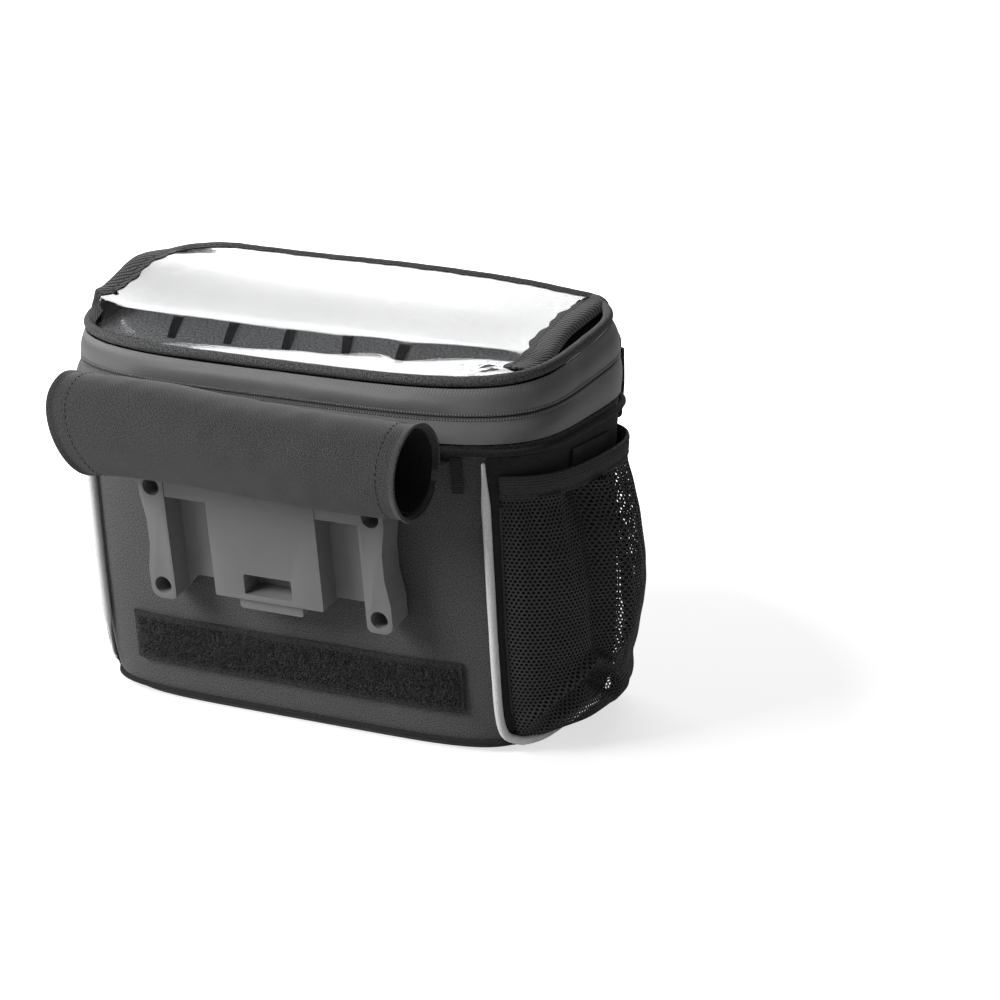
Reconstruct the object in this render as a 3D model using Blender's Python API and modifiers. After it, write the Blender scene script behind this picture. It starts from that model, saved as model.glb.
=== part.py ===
"""Handlebar bag: a soft tub with a zipped lid, net side pockets, a rolled cover flap, a hard rear
mounting plate and a clear map sleeve on the lid. Metres, +Z up. +X is the bag's right side and -Y
the rider's side. The origin is the middle of the flat floor that the bag stands on."""

import math

import bmesh
import bpy
from mathutils import Matrix, Vector

# Clearances and walls
GAP = 0.0003
BODY_WALL = 0.003
BAND_WALL = 0.0024
NET_WALL = 0.0012
FILM_WALL = 0.001

# Body: a tub whose front stands upright and whose rear leans out to the rider
BODY_HEIGHT = 0.156
BASE_WIDTH = 0.241
BASE_DEPTH = 0.1255
TOP_WIDTH = 0.257
FRONT_Y = 0.0628
REAR_SLOPE = 0.165
REAR_LEAN = math.atan(REAR_SLOPE)
BASE_CORNER = 0.030
CORNER_EXPONENT_BASE = 5.4
CORNER_EXPONENT_TOP = 3.9

# Lid bands: each seam line has its width, its rear height and its rise toward the front
LOW_LIP = 0.001
LOW_RISE = 0.014
ZIP_WIDTH = 0.2565
ZIP_DEPTH = 0.147
ZIP_LIFT = 0.0112
ZIP_HEIGHT = BODY_HEIGHT + ZIP_LIFT
ZIP_RISE = 0.078
ZIP_HALF = 0.0019
RIM_WIDTH = 0.251
RIM_DEPTH = 0.141
RIM_LIFT = 0.024
RIM_HEIGHT = BODY_HEIGHT + RIM_LIFT
RIM_RISE = 0.115
RIM_EXPONENT = 3.8
LID_CENTRE_Y = -0.0105
RIM_CENTRE_Y = -0.0125
BAND_PLUMP = 0.0018
BAND_SEAT = 0.0006
LID_DOME = 0.0015
LID_WALL = 0.0024
ZIP_END_ANGLE = 38
HINGE_ANGLE = ZIP_END_ANGLE + 1.5

# Cords sewn into the seams
TOP_CORD = 0.0025
TOP_CORD_SINK = 0.6 * TOP_CORD
LOW_CORD = 0.0016
BASE_CORD = 0.0013
BASE_CORD_Z = 0.0046
POCKET_FOOT = BASE_CORD_Z + BASE_CORD + GAP
SIDE_CORD = 0.0021
SIDE_CORD_X = 0.1055
SIDE_CORD_DROP = 0.0085
SIDE_CORD_TOP = BODY_HEIGHT - SIDE_CORD_DROP
SIDE_CORD_DRIFT = 0.2

# Zip slider at the right end of the zip
SLIDER_WIDTH = 0.0085
SLIDER_HEIGHT = 0.0105
SLIDER_DEPTH = 0.0026
SLIDER_EDGE = 0.001
SLIDER_ANGLE = ZIP_END_ANGLE + 4
BAIL_WIRE = 0.0007
BAIL_TILT = 0.0008
BAIL_FOOT = 0.3 * SLIDER_HEIGHT
PULL_WIDTH = 0.010
PULL_LENGTH = 0.035
PULL_WALL = 0.0016
PULL_TAPER = 0.2

# Side pockets
POCKET_EDGE_X = SIDE_CORD_X + 2 * SIDE_CORD
POCKET_SEAM = 0.0008
POCKET_BULGE = 0.0205
POCKET_FLAT = 0.0016
MOUTH_FLAT = 0.0010
POCKET_GATHERS = 9
GATHER_DEPTH = 0.0013
GATHER_REACH = 0.6
BULGE_POWER = 0.75
MOUTH_POWER = 0.7
BAND_DROP = 0.0135
BAND_TOP = BODY_HEIGHT - BAND_DROP
BAND_FALL = 0.045
BAND_HEIGHT = 0.0105
BAND_THICK = 0.0015
MOUTH_GAP = 0.0078
TAB_LENGTH = 0.042
TAB_HEIGHT = 0.0085
TAB_CENTRE_Y = -0.011
TAB_WALL = 0.0015

# Hook strip on the rear panel
STRIP_LENGTH = 0.179
STRIP_HEIGHT = 0.0255
STRIP_FOOT = 0.0205
STRIP_WALL = 0.002

# Mounting plate
PLATE_WIDTH = 0.130
PLATE_HEIGHT = 0.067
PLATE_DEPTH = 0.016
PLATE_DROP = 0.0905
PLATE_FOOT = BODY_HEIGHT - PLATE_DROP
PLATE_FLOOR = 0.003
PLATE_LAP = 0.0005
COLUMN_WIDTH = 0.0135
COLUMN_WAIST = 0.0022
COLUMN_CORNER = 0.005
COLUMN_CURVE = 0.010
PAD_WIDTH = 0.058
PAD_FOOT = 0.0065
PAD_EDGE = 0.0008
PLATE_EDGE = 0.0006
FLOOR_RISE = 0.0015
TONGUE_WIDTH = 0.034
TONGUE_STEP = 0.0015
TONGUE_EDGE = 0.0015
TONGUE_FOOT = 0.001
TONGUE_LAP = 0.002
TOP_BAR = 0.0125
HOLE_RADIUS = 0.0045
HOLE_INSET = 0.0070
HOLE_INSET_TOP = 1.15 * HOLE_INSET
WINDOW_WIDTH = 0.0255
WINDOW_HEIGHT = 0.0105
WINDOW_FOOT = 0.0095

# Rolled cover flap
FLAP_LENGTH = 0.182
FLAP_SHIFT = -0.0005
FLAP_RADIUS_RIGHT = 0.0222
FLAP_RADIUS_LEFT = 0.0252
FLAP_FLATTEN = 0.96
FLAP_WALL = 0.002
FLAP_DROP = 0.0045
FLAP_HEIGHT = BODY_HEIGHT - FLAP_DROP
FLAP_ROOT_DROP = 0.003
FLAP_ROOT = FLAP_HEIGHT - FLAP_ROOT_DROP
FLAP_ROOT_DIP = 0.0004
FLAP_START = -8
FLAP_TURN = 342
FLAP_SAG = 0.0012
FLAP_TAPER = 0.013
FLAP_TAPER_START = 0.33
FLAP_TAPER_REACH = 0.45
KEEPER_WIDTH = 0.005
KEEPER_HEIGHT = 0.018
KEEPER_WALL = 0.0015
KEEPER_DROP = 0.55 * KEEPER_HEIGHT
KEEPER_X = FLAP_SHIFT + FLAP_LENGTH / 2 + 2 * GAP + KEEPER_WIDTH / 2

# Map sleeve on the lid
MAP_RIGHT = 0.108
MAP_LEFT = 0.118
MAP_BACK = 0.046
MAP_INSET = 0.006
MAP_CORNER = 0.024
MAP_RAISE = 0.016
TAPE_WIDTH = 0.015
TAPE_WALL = 0.0012
MAP_STRIP_LENGTH = 0.164
MAP_STRIP_X = -0.004
MAP_STRIP_INSET = 0.006
MAP_STRIP_WIDTH = 0.015
MAP_STRIP_WALL = 0.0009
MAP_LOOPS = 5
MAP_LOOP_PITCH = 0.0302
MAP_LOOP_SLANT = 0.0125
MAP_LOOP_WIDTH = 0.006
MAP_LOOP_WALL = 0.0008
MAP_LOOP_INSET = 0.0015

AROUND = 48
POCKET_COLUMNS = 24
UP = Vector((0, 0, 1))

# Columns: height as a share of BASE_CORNER, width and depth lost as shares of BASE_CORNER
FOOT_ROWS = (
    (0.00, 0.38, 0.10),
    (0.10, 0.20, 0.03),
    (0.27, 0.10, 0.01),
    (0.60, 0.03, 0.00),
    (1.00, 0.00, 0.00),
)
# Columns: share of the body height, outward swell as a share of BAND_PLUMP
SWELL_ROWS = ((0.0, 0.0), (0.35, 0.5), (0.7, -1.0), (0.85, -1.0), (1.0, 0.0))
# Columns: share of the pocket height, bulge as a share of POCKET_BULGE or POCKET_FLAT
POCKET_ROWS = (
    (0.00, 0.06),
    (0.02, 0.46),
    (0.06, 0.74),
    (0.10, 0.80),
    (0.16, 0.70),
    (0.24, 0.84),
    (0.40, 0.98),
    (0.60, 1.00),
    (0.78, 0.80),
    (0.92, 0.46),
    (1.00, 0.28),
)
# Columns: share across from left to right, film height at the bend, middle and back edge, each as
# a share of MAP_RAISE
FILM_ROWS = (
    (0.00, 1.00, 1.00, 0.44),
    (0.10, 0.81, 0.88, 0.36),
    (0.26, 0.50, 0.69, 0.44),
    (0.50, 0.34, 0.56, 0.47),
    (0.70, 0.32, 0.44, 0.36),
    (0.86, 0.29, 0.28, 0.25),
    (1.00, 0.02, 0.02, 0.02),
)
FILM_BEND = 0.2
# Shares of the way from the film's near edge to its back edge
FILM_LINES = (0.0, 0.05, 0.1, 0.2, 0.35, 0.55, 0.75, 0.9, 1.0)
# Columns: share of the plate's height, share of COLUMN_WAIST
COLUMN_ROWS = ((0.22, 0), (0.42, 1), (0.62, 1), (0.82, 0))
# Columns: share of the pull's half width, share of BAIL_TILT, height as a share of BAIL_FOOT
BAIL_ROWS = ((0.5, 0.0, 1.17), (1.0, 0.5, 0.33), (1.0, 1.0, -1.0))


def between(rows, at, column):
    """Straight reading of one column of a table whose first column rises."""
    for low, high in zip(rows, rows[1:]):
        if at <= high[0]:
            share = (at - low[0]) / (high[0] - low[0])
            return low[column] + (high[column] - low[column]) * share
    return rows[-1][column]


def smooth(share):
    share = min(max(share, 0.0), 1.0)
    return share * share * (3 - 2 * share)


class Section:
    """A rounded outline in plan: a superellipse with its width, depth, middle and exponent."""

    def __init__(self, width, depth, centre_y, exponent):
        self.half_x = width / 2
        self.half_y = depth / 2
        self.centre_y = centre_y
        self.exponent = exponent

    def grown(self, by):
        return Section(
            2 * (self.half_x + by), 2 * (self.half_y + by), self.centre_y, self.exponent
        )

    def at(self, degrees):
        """The point at this angle. 0 is the right side, -90 the rear and 90 the front."""
        c, s = math.cos(math.radians(degrees)), math.sin(math.radians(degrees))
        power = 2 / self.exponent
        x = math.copysign(abs(c) ** power, c) * self.half_x
        y = math.copysign(abs(s) ** power, s) * self.half_y
        return Vector((x, self.centre_y + y, 0))

    def angle_of_x(self, x):
        """The angle from the side to the point with this x, measured toward the rear or front."""
        return math.degrees(math.acos(min(1, abs(x) / self.half_x) ** (self.exponent / 2)))

    def rear_y(self, x):
        return self.at(-self.angle_of_x(x)).y

    def run(self, start, end, count, closed=False):
        """Points spaced evenly along the outline between two angles."""
        fine = [self.at(start + (end - start) * i / 720) for i in range(721)]
        reach = [0.0]
        for a, b in zip(fine, fine[1:]):
            reach.append(reach[-1] + (b - a).length)
        steps = count if closed else count - 1
        points = []
        j = 0
        for i in range(count):
            target = reach[-1] * i / steps
            while j < 719 and reach[j + 1] < target:
                j += 1
            share = (target - reach[j]) / max(reach[j + 1] - reach[j], 1e-12)
            points.append(fine[j].lerp(fine[j + 1], min(share, 1)))
        return points


def body_section(z):
    """The body's outer outline at a height."""
    share = z / BODY_HEIGHT
    foot = min(z / BASE_CORNER, 1.0)
    swell = between(SWELL_ROWS, min(share, 1), 1) * BAND_PLUMP
    width = BASE_WIDTH + (TOP_WIDTH - BASE_WIDTH) * share + 2 * swell
    width -= 2 * between(FOOT_ROWS, foot, 1) * BASE_CORNER
    loss = between(FOOT_ROWS, foot, 2) * BASE_CORNER
    rear = FRONT_Y - BASE_DEPTH - REAR_SLOPE * z + loss
    front = FRONT_Y - loss
    exponent = CORNER_EXPONENT_BASE + (CORNER_EXPONENT_TOP - CORNER_EXPONENT_BASE) * share
    return Section(width, front - rear, (front + rear) / 2, exponent)


def low_section():
    return body_section(BODY_HEIGHT).grown(LOW_LIP)


def zip_section():
    return Section(ZIP_WIDTH, ZIP_DEPTH, LID_CENTRE_Y, CORNER_EXPONENT_TOP)


def rim_section():
    return Section(RIM_WIDTH, RIM_DEPTH, RIM_CENTRE_Y, RIM_EXPONENT)


def lifted(points, section, height, rise):
    """The points raised to a seam line that climbs toward the front."""
    rear = section.centre_y - section.half_y
    return [Vector((p.x, p.y, height + rise * (p.y - rear))) for p in points]


def lid_height(y):
    """Height of the lid's rim line over a place along the depth."""
    section = rim_section()
    return RIM_HEIGHT + RIM_RISE * (y - section.centre_y + section.half_y)


def clear_scene():
    for thing in list(bpy.data.objects):
        bpy.data.objects.remove(thing, do_unlink=True)


def collection_named(name, hidden):
    found = bpy.data.collections.new(name)
    bpy.context.scene.collection.children.link(found)
    found.hide_render = hidden
    return found


def material(name, colour, roughness, metallic=0.0):
    made = bpy.data.materials.new(name)
    made.use_nodes = True
    shader = made.node_tree.nodes["Principled BSDF"]
    shader.inputs["Base Color"].default_value = (*colour, 1)
    shader.inputs["Roughness"].default_value = roughness
    shader.inputs["Metallic"].default_value = metallic
    made.diffuse_color = (*colour, 1)
    return made


def add_object(name, mesh, finish, home):
    thing = bpy.data.objects.new(name, mesh)
    if finish is not None:
        mesh.materials.clear()
        mesh.materials.append(finish)
    home.objects.link(thing)
    mesh.shade_smooth()
    mesh.set_sharp_from_angle(angle=math.radians(40))
    return thing


def loft(name, rings, finish, home, closed=True, first_cap=False, last_cap=False, wrap=False):
    """A surface through rings of equal length. closed joins each ring's ends, and wrap joins the
    last ring to the first."""
    bm = bmesh.new()
    rows = [[bm.verts.new(p) for p in ring] for ring in rings]
    count = len(rows[0])
    pairs = list(zip(rows, rows[1:]))
    if wrap:
        pairs.append((rows[-1], rows[0]))
    for low, high in pairs:
        for i in range(count if closed else count - 1):
            j = (i + 1) % count
            bm.faces.new((low[i], low[j], high[j], high[i]))
    if first_cap:
        bm.faces.new(list(reversed(rows[0])))
    if last_cap:
        bm.faces.new(rows[-1])
    mesh = bpy.data.meshes.new(name)
    bm.to_mesh(mesh)
    bm.free()
    return add_object(name, mesh, finish, home)


def solidify(thing, wall):
    """Gives a surface a wall on the side away from its normals."""
    made = thing.modifiers.new("Wall", "SOLIDIFY")
    made.thickness = wall
    made.offset = -1
    made.use_even_offset = True
    made.use_rim = True
    return made


def tube(name, points, radius, finish, home, cyclic=False, sides=2):
    """A round cord along points, with filled ends."""
    curve = bpy.data.curves.new(name, "CURVE")
    curve.dimensions = "3D"
    curve.bevel_depth = radius
    curve.bevel_resolution = sides
    curve.use_fill_caps = not cyclic
    spline = curve.splines.new("POLY")
    spline.points.add(len(points) - 1)
    for point, place in zip(spline.points, points):
        point.co = (*place, 1)
    spline.use_cyclic_u = cyclic
    curve.materials.append(finish)
    thing = bpy.data.objects.new(name, curve)
    home.objects.link(thing)
    return thing


def rounded(corners, steps=4):
    """An outline through (x, z, radius) corners, with an arc of that radius at each."""
    points = []
    count = len(corners)
    for i, (x, z, radius) in enumerate(corners):
        here = Vector((x, z))
        before = Vector(corners[i - 1][:2]) - here
        after = Vector(corners[(i + 1) % count][:2]) - here
        if radius <= 0:
            points.append(here)
            continue
        half = before.angle(after) / 2
        reach = radius / math.tan(half)
        start = here + before.normalized() * reach
        end = here + after.normalized() * reach
        middle = here + (before.normalized() + after.normalized()).normalized() * (
            radius / math.sin(half)
        )
        a, b = start - middle, end - middle
        turn = a.angle_signed(b)
        for k in range(steps + 1):
            spin = Matrix.Rotation(-turn * k / steps, 2)
            points.append(middle + spin @ a)
    return points


def slab(name, outline, near, far, home):
    """A flat outline in (x, z), filled between two distances outward, as a closed mesh."""
    curve = bpy.data.curves.new(name, "CURVE")
    curve.dimensions = "2D"
    curve.fill_mode = "BOTH"
    curve.extrude = (far - near) / 2
    spline = curve.splines.new("POLY")
    spline.points.add(len(outline) - 1)
    for point, place in zip(spline.points, outline):
        point.co = (place.x, place.y, 0, 1)
    spline.use_cyclic_u = True
    source = bpy.data.objects.new(name + "_outline", curve)
    home.objects.link(source)
    bpy.context.view_layer.update()
    graph = bpy.context.evaluated_depsgraph_get()
    mesh = bpy.data.meshes.new_from_object(source.evaluated_get(graph))
    bpy.data.objects.remove(source)
    stand = Matrix.Rotation(math.pi / 2, 4, "X")
    mesh.transform(Matrix.Translation((0, -(near + far) / 2, 0)) @ stand)
    bm = bmesh.new()
    bm.from_mesh(mesh)
    bmesh.ops.remove_doubles(bm, verts=bm.verts, dist=0.00001)
    bmesh.ops.recalc_face_normals(bm, faces=bm.faces)
    bm.to_mesh(mesh)
    bm.free()
    thing = bpy.data.objects.new(name, mesh)
    home.objects.link(thing)
    return thing


def boolean(thing, other, operation):
    made = thing.modifiers.new(other.name, "BOOLEAN")
    made.operation = operation
    made.object = other
    made.solver = "EXACT"
    other.hide_render = True
    other.display_type = "WIRE"


def surface_patch(name, xs, zs, section_at, gap, wall, finish, home):
    """A sewn-on strip that follows the rear panel between rows of x and z."""
    rings = []
    for z in zs:
        section = section_at(z).grown(gap + wall)
        rings.append([Vector((x, section.rear_y(x), z)) for x in xs])
    thing = loft(name, rings, finish, home, closed=False)
    solidify(thing, wall)
    return thing


def spread(start, end, count):
    return [start + (end - start) * i / (count - 1) for i in range(count)]


def build_body(cloth, cord, home):
    heights = [row[0] * BASE_CORNER for row in FOOT_ROWS]
    heights += spread(BASE_CORNER, BODY_HEIGHT - GAP / 2, 6)[1:]
    rings = []
    for z in heights:
        ring = body_section(z).run(-90, 270, AROUND, closed=True)
        rings.append([Vector((p.x, p.y, z)) for p in ring])
    shell = loft("body_shell", rings, cloth, home, first_cap=True)
    solidify(shell, BODY_WALL)
    widest = body_section(BASE_CORD_Z + BASE_CORD).grown(BASE_CORD + GAP)
    seam = widest.run(-90, 270, AROUND, closed=True)
    ring = [Vector((p.x, p.y, BASE_CORD_Z)) for p in seam]
    tube("base_welt", ring, BASE_CORD, cord, home, cyclic=True, sides=1)


def band(name, low, high, low_line, high_line, finish, home):
    """A sewn wall between two seam lines, each (height, rise), swelling a little between them."""
    rings = []
    for share in spread(0, 1, 4):
        width = 2 * (low.half_x + (high.half_x - low.half_x) * share)
        depth = 2 * (low.half_y + (high.half_y - low.half_y) * share)
        centre = low.centre_y + (high.centre_y - low.centre_y) * share
        exponent = low.exponent + (high.exponent - low.exponent) * share
        swell = BAND_PLUMP * math.sin(math.pi * share)
        section = Section(width, depth, centre, exponent).grown(swell)
        points = section.run(-90, 270, AROUND, closed=True)
        line_low = lifted(points, section, *low_line)
        line_high = lifted(points, section, *high_line)
        rings.append([a.lerp(b, share) for a, b in zip(line_low, line_high)])
    thing = loft(name, rings, finish, home)
    solidify(thing, BAND_WALL)


def build_lid(coated, cloth, cord, home):
    low, middle, rim = low_section(), zip_section(), rim_section()
    zip_low = ZIP_HEIGHT - ZIP_HALF
    zip_high = ZIP_HEIGHT + ZIP_HALF
    band(
        "lid_band_lower", low, middle,
        (BODY_HEIGHT + BAND_SEAT, LOW_RISE), (zip_low - GAP, ZIP_RISE), coated, home,
    )
    band(
        "lid_band_upper", middle, rim,
        (zip_high + GAP, ZIP_RISE), (RIM_HEIGHT - GAP / 2, RIM_RISE), coated, home,
    )
    for name, start, end, count, finish in (
        ("zip_chain", ZIP_END_ANGLE, -180 - ZIP_END_ANGLE, 38, cord),
        ("lid_hinge", HINGE_ANGLE, 180 - HINGE_ANGLE, 14, coated),
    ):
        points = middle.run(start, end, count)
        ends = [lifted(points, middle, z, ZIP_RISE) for z in (zip_low, zip_high)]
        if end < start:
            ends.reverse()
        thing = loft(name, ends, finish, home, closed=False)
        solidify(thing, BAND_WALL)
    cord_line = rim.grown(-TOP_CORD_SINK).run(-90, 270, AROUND, closed=True)
    top = lifted(cord_line, rim, RIM_HEIGHT + TOP_CORD + GAP, RIM_RISE)
    tube("top_piping", top, TOP_CORD, cloth, home, cyclic=True)
    body_top = body_section(BODY_HEIGHT).grown(LOW_CORD + GAP)
    low_line = body_top.run(-90, 270, AROUND, closed=True)
    ring = lifted(low_line, body_top, BODY_HEIGHT - 2 * LOW_CORD, 0)
    tube("lower_piping", ring, LOW_CORD, cloth, home, cyclic=True, sides=1)
    rings = []
    edge = rim.grown(-BAND_WALL - GAP)
    for share in (1.0, 0.86, 0.62, 0.32):
        points = [
            Vector((p.x * share, edge.centre_y + (p.y - edge.centre_y) * share, 0))
            for p in edge.run(-90, 270, AROUND, closed=True)
        ]
        dome = LID_DOME * (1 - share**2)
        rings.append([Vector((p.x, p.y, lid_height(p.y) - GAP + dome)) for p in points])
    panel = loft("lid_panel", rings, cloth, home, last_cap=True)
    solidify(panel, LID_WALL)


def build_slider(metal, webbing, home):
    """The slider sits over the zip's right end, with a wire bail and a cloth pull hung on it."""
    section = zip_section()
    place = section.at(SLIDER_ANGLE)
    ahead = section.at(SLIDER_ANGLE + 1)
    along = (ahead - place).normalized()
    out = along.cross(UP)
    seam = lifted([place], section, ZIP_HEIGHT, ZIP_RISE)[0]
    frame = Matrix((
        (along.x, out.x, 0, 0),
        (along.y, out.y, 0, 0),
        (0, 0, 1, 0),
        (0, 0, 0, 1),
    ))
    near = BAND_PLUMP / 6 + GAP
    block = bmesh.new()
    bmesh.ops.create_cube(block, size=1)
    bmesh.ops.scale(block, vec=(SLIDER_WIDTH, SLIDER_DEPTH, SLIDER_HEIGHT), verts=block.verts)
    mesh = bpy.data.meshes.new("zip_slider")
    block.to_mesh(mesh)
    block.free()
    slider = add_object("zip_slider", mesh, metal, home)
    slider.matrix_world = (
        Matrix.Translation(seam) @ frame @ Matrix.Translation((0, near + SLIDER_DEPTH / 2, 0))
    )
    edges = slider.modifiers.new("Edges", "BEVEL")
    edges.width = SLIDER_EDGE
    edges.segments = 2
    reach = near + SLIDER_DEPTH
    half = PULL_WIDTH / 2 - 2 * BAIL_WIRE
    crown = reach + GAP + BAIL_WIRE
    loop = []
    for side, rows in ((-1, BAIL_ROWS), (1, BAIL_ROWS[::-1])):
        for across, tilt, height in rows:
            away = crown + BAIL_TILT * tilt
            loop.append(Vector((side * half * across, away, BAIL_FOOT * height)))
    to_world = Matrix.Translation(seam) @ frame
    tube("zip_bail", [to_world @ p for p in loop], BAIL_WIRE, metal, home, cyclic=True, sides=1)
    top = -BAIL_FOOT - BAIL_WIRE - GAP
    rings = []
    for share in (0, 0.5, 1):
        width = PULL_WIDTH * (1 - PULL_TAPER * (1 - share))
        drop = top - PULL_LENGTH * share
        away = crown + BAIL_TILT * (1 - share) + PULL_WALL / 2
        rings.append([to_world @ Vector((x, away, drop)) for x in (-width / 2, width / 2)])
    pull = loft("zip_pull", rings, webbing, home, closed=False)
    solidify(pull, PULL_WALL)


def side_run(z, count, side):
    """Points round one side between the pocket's rear and front edges, with outward directions."""
    section = body_section(z)
    start = section.angle_of_x(POCKET_EDGE_X)
    points = section.run(-start, start, count)
    result = []
    for i, p in enumerate(points):
        along = (points[min(i + 1, count - 1)] - points[max(i - 1, 0)]).normalized()
        out = along.cross(UP)
        result.append((Vector((p.x * side, p.y, z)), Vector((out.x * side, out.y, 0))))
    return result


def band_top(y):
    """Height of the pocket band's upper edge, which falls toward the front."""
    rear = FRONT_Y - BASE_DEPTH - REAR_SLOPE * BAND_TOP
    return BAND_TOP - BAND_FALL * (y - rear)


def mouth_offset(share, side):
    """How far the pocket's mouth stands off the body along the side. The left one lies flat."""
    widest = MOUTH_GAP if side > 0 else MOUTH_FLAT
    return POCKET_SEAM + (widest - POCKET_SEAM) * math.sin(math.pi * share) ** MOUTH_POWER


def pocket_rings(side, count, rows, inner):
    """Rings of the net, one for each row. inner leaves room for the wall."""
    rings = []
    for share_up, bulge in rows:
        ring = []
        for i in range(count):
            share = i / (count - 1)
            foot_place = side_run(POCKET_FOOT, count, side)[i][0]
            top_z = band_top(foot_place.y) - BAND_HEIGHT - GAP
            z = POCKET_FOOT + (top_z - POCKET_FOOT) * share_up
            place, out = side_run(z, count, side)[i]
            widest = POCKET_BULGE if side > 0 else POCKET_FLAT
            swell = bulge * widest * math.sin(math.pi * share) ** BULGE_POWER
            if share_up == 1:
                swell = mouth_offset(share, side) - POCKET_SEAM
            ripple = GATHER_DEPTH * math.sin(2 * math.pi * POCKET_GATHERS * share)
            ripple *= math.sin(math.pi * share) * smooth(share_up / GATHER_REACH)
            ripple *= 1 - GATHER_REACH * smooth(share_up)
            stand_off = POCKET_SEAM + swell + abs(ripple) * (share_up < 1)
            ring.append(place + out * (stand_off + inner))
        rings.append(ring)
    return rings


def build_pocket(side, net, elastic, home):
    label = "right" if side > 0 else "left"
    count = POCKET_COLUMNS
    rings = pocket_rings(side, count, POCKET_ROWS, NET_WALL)
    if side < 0:
        rings = [list(reversed(ring)) for ring in rings]
    sheet = loft(f"pocket_{label}", rings, net, home, closed=False)
    solidify(sheet, NET_WALL)
    rings = []
    for edge in (0, 1):
        ring = []
        for i in range(count):
            share = i / (count - 1)
            foot_place = side_run(POCKET_FOOT, count, side)[i][0]
            z = band_top(foot_place.y) - BAND_HEIGHT * (1 - edge)
            place, out = side_run(z, count, side)[i]
            ring.append(place + out * (mouth_offset(share, side) + BAND_THICK))
        rings.append(ring)
    if side < 0:
        rings = [list(reversed(ring)) for ring in rings]
    elastic_band = loft(f"pocket_band_{label}", rings, elastic, home, closed=False)
    solidify(elastic_band, BAND_THICK)


def build_tab(webbing, home):
    """A flat webbing tab on the right side, half behind the pocket's band."""
    rings = []
    for edge in (0, 1):
        ring = []
        for y in spread(TAB_CENTRE_Y - TAB_LENGTH / 2, TAB_CENTRE_Y + TAB_LENGTH / 2, 5):
            z = band_top(y) - TAB_HEIGHT / 3 + TAB_HEIGHT * edge
            section = body_section(z)
            span = abs(y - section.centre_y) / section.half_y
            x = section.half_x * (1 - span**section.exponent) ** (1 / section.exponent)
            ring.append(Vector((x + GAP + TAB_WALL, y, z)))
        rings.append(ring)
    tab = loft("pocket_tab_right", rings, webbing, home, closed=False)
    solidify(tab, TAB_WALL)


def build_side_cord(side, finish, home):
    """The reflective cord down a rear corner, which turns under the pocket at the foot."""
    points = []
    radius = SIDE_CORD + GAP
    for z in spread(SIDE_CORD_TOP, BASE_CORNER, 12):
        section = body_section(z).grown(radius)
        points.append(Vector((side * SIDE_CORD_X, section.rear_y(SIDE_CORD_X), z)))
    foot = POCKET_FOOT + SIDE_CORD
    for share in spread(0, 1, 8)[1:]:
        z = BASE_CORNER + (foot - BASE_CORNER) * math.sin(math.pi / 2 * share)
        section = body_section(z).grown(radius)
        reach = SIDE_CORD_X + (POCKET_EDGE_X - SIDE_CORD_X) * SIDE_CORD_DRIFT * share**2
        points.append(Vector((side * reach, section.rear_y(reach), z)))
    label = "right" if side > 0 else "left"
    tube(f"reflective_piping_{label}", points, SIDE_CORD, finish, home, sides=2)


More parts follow.
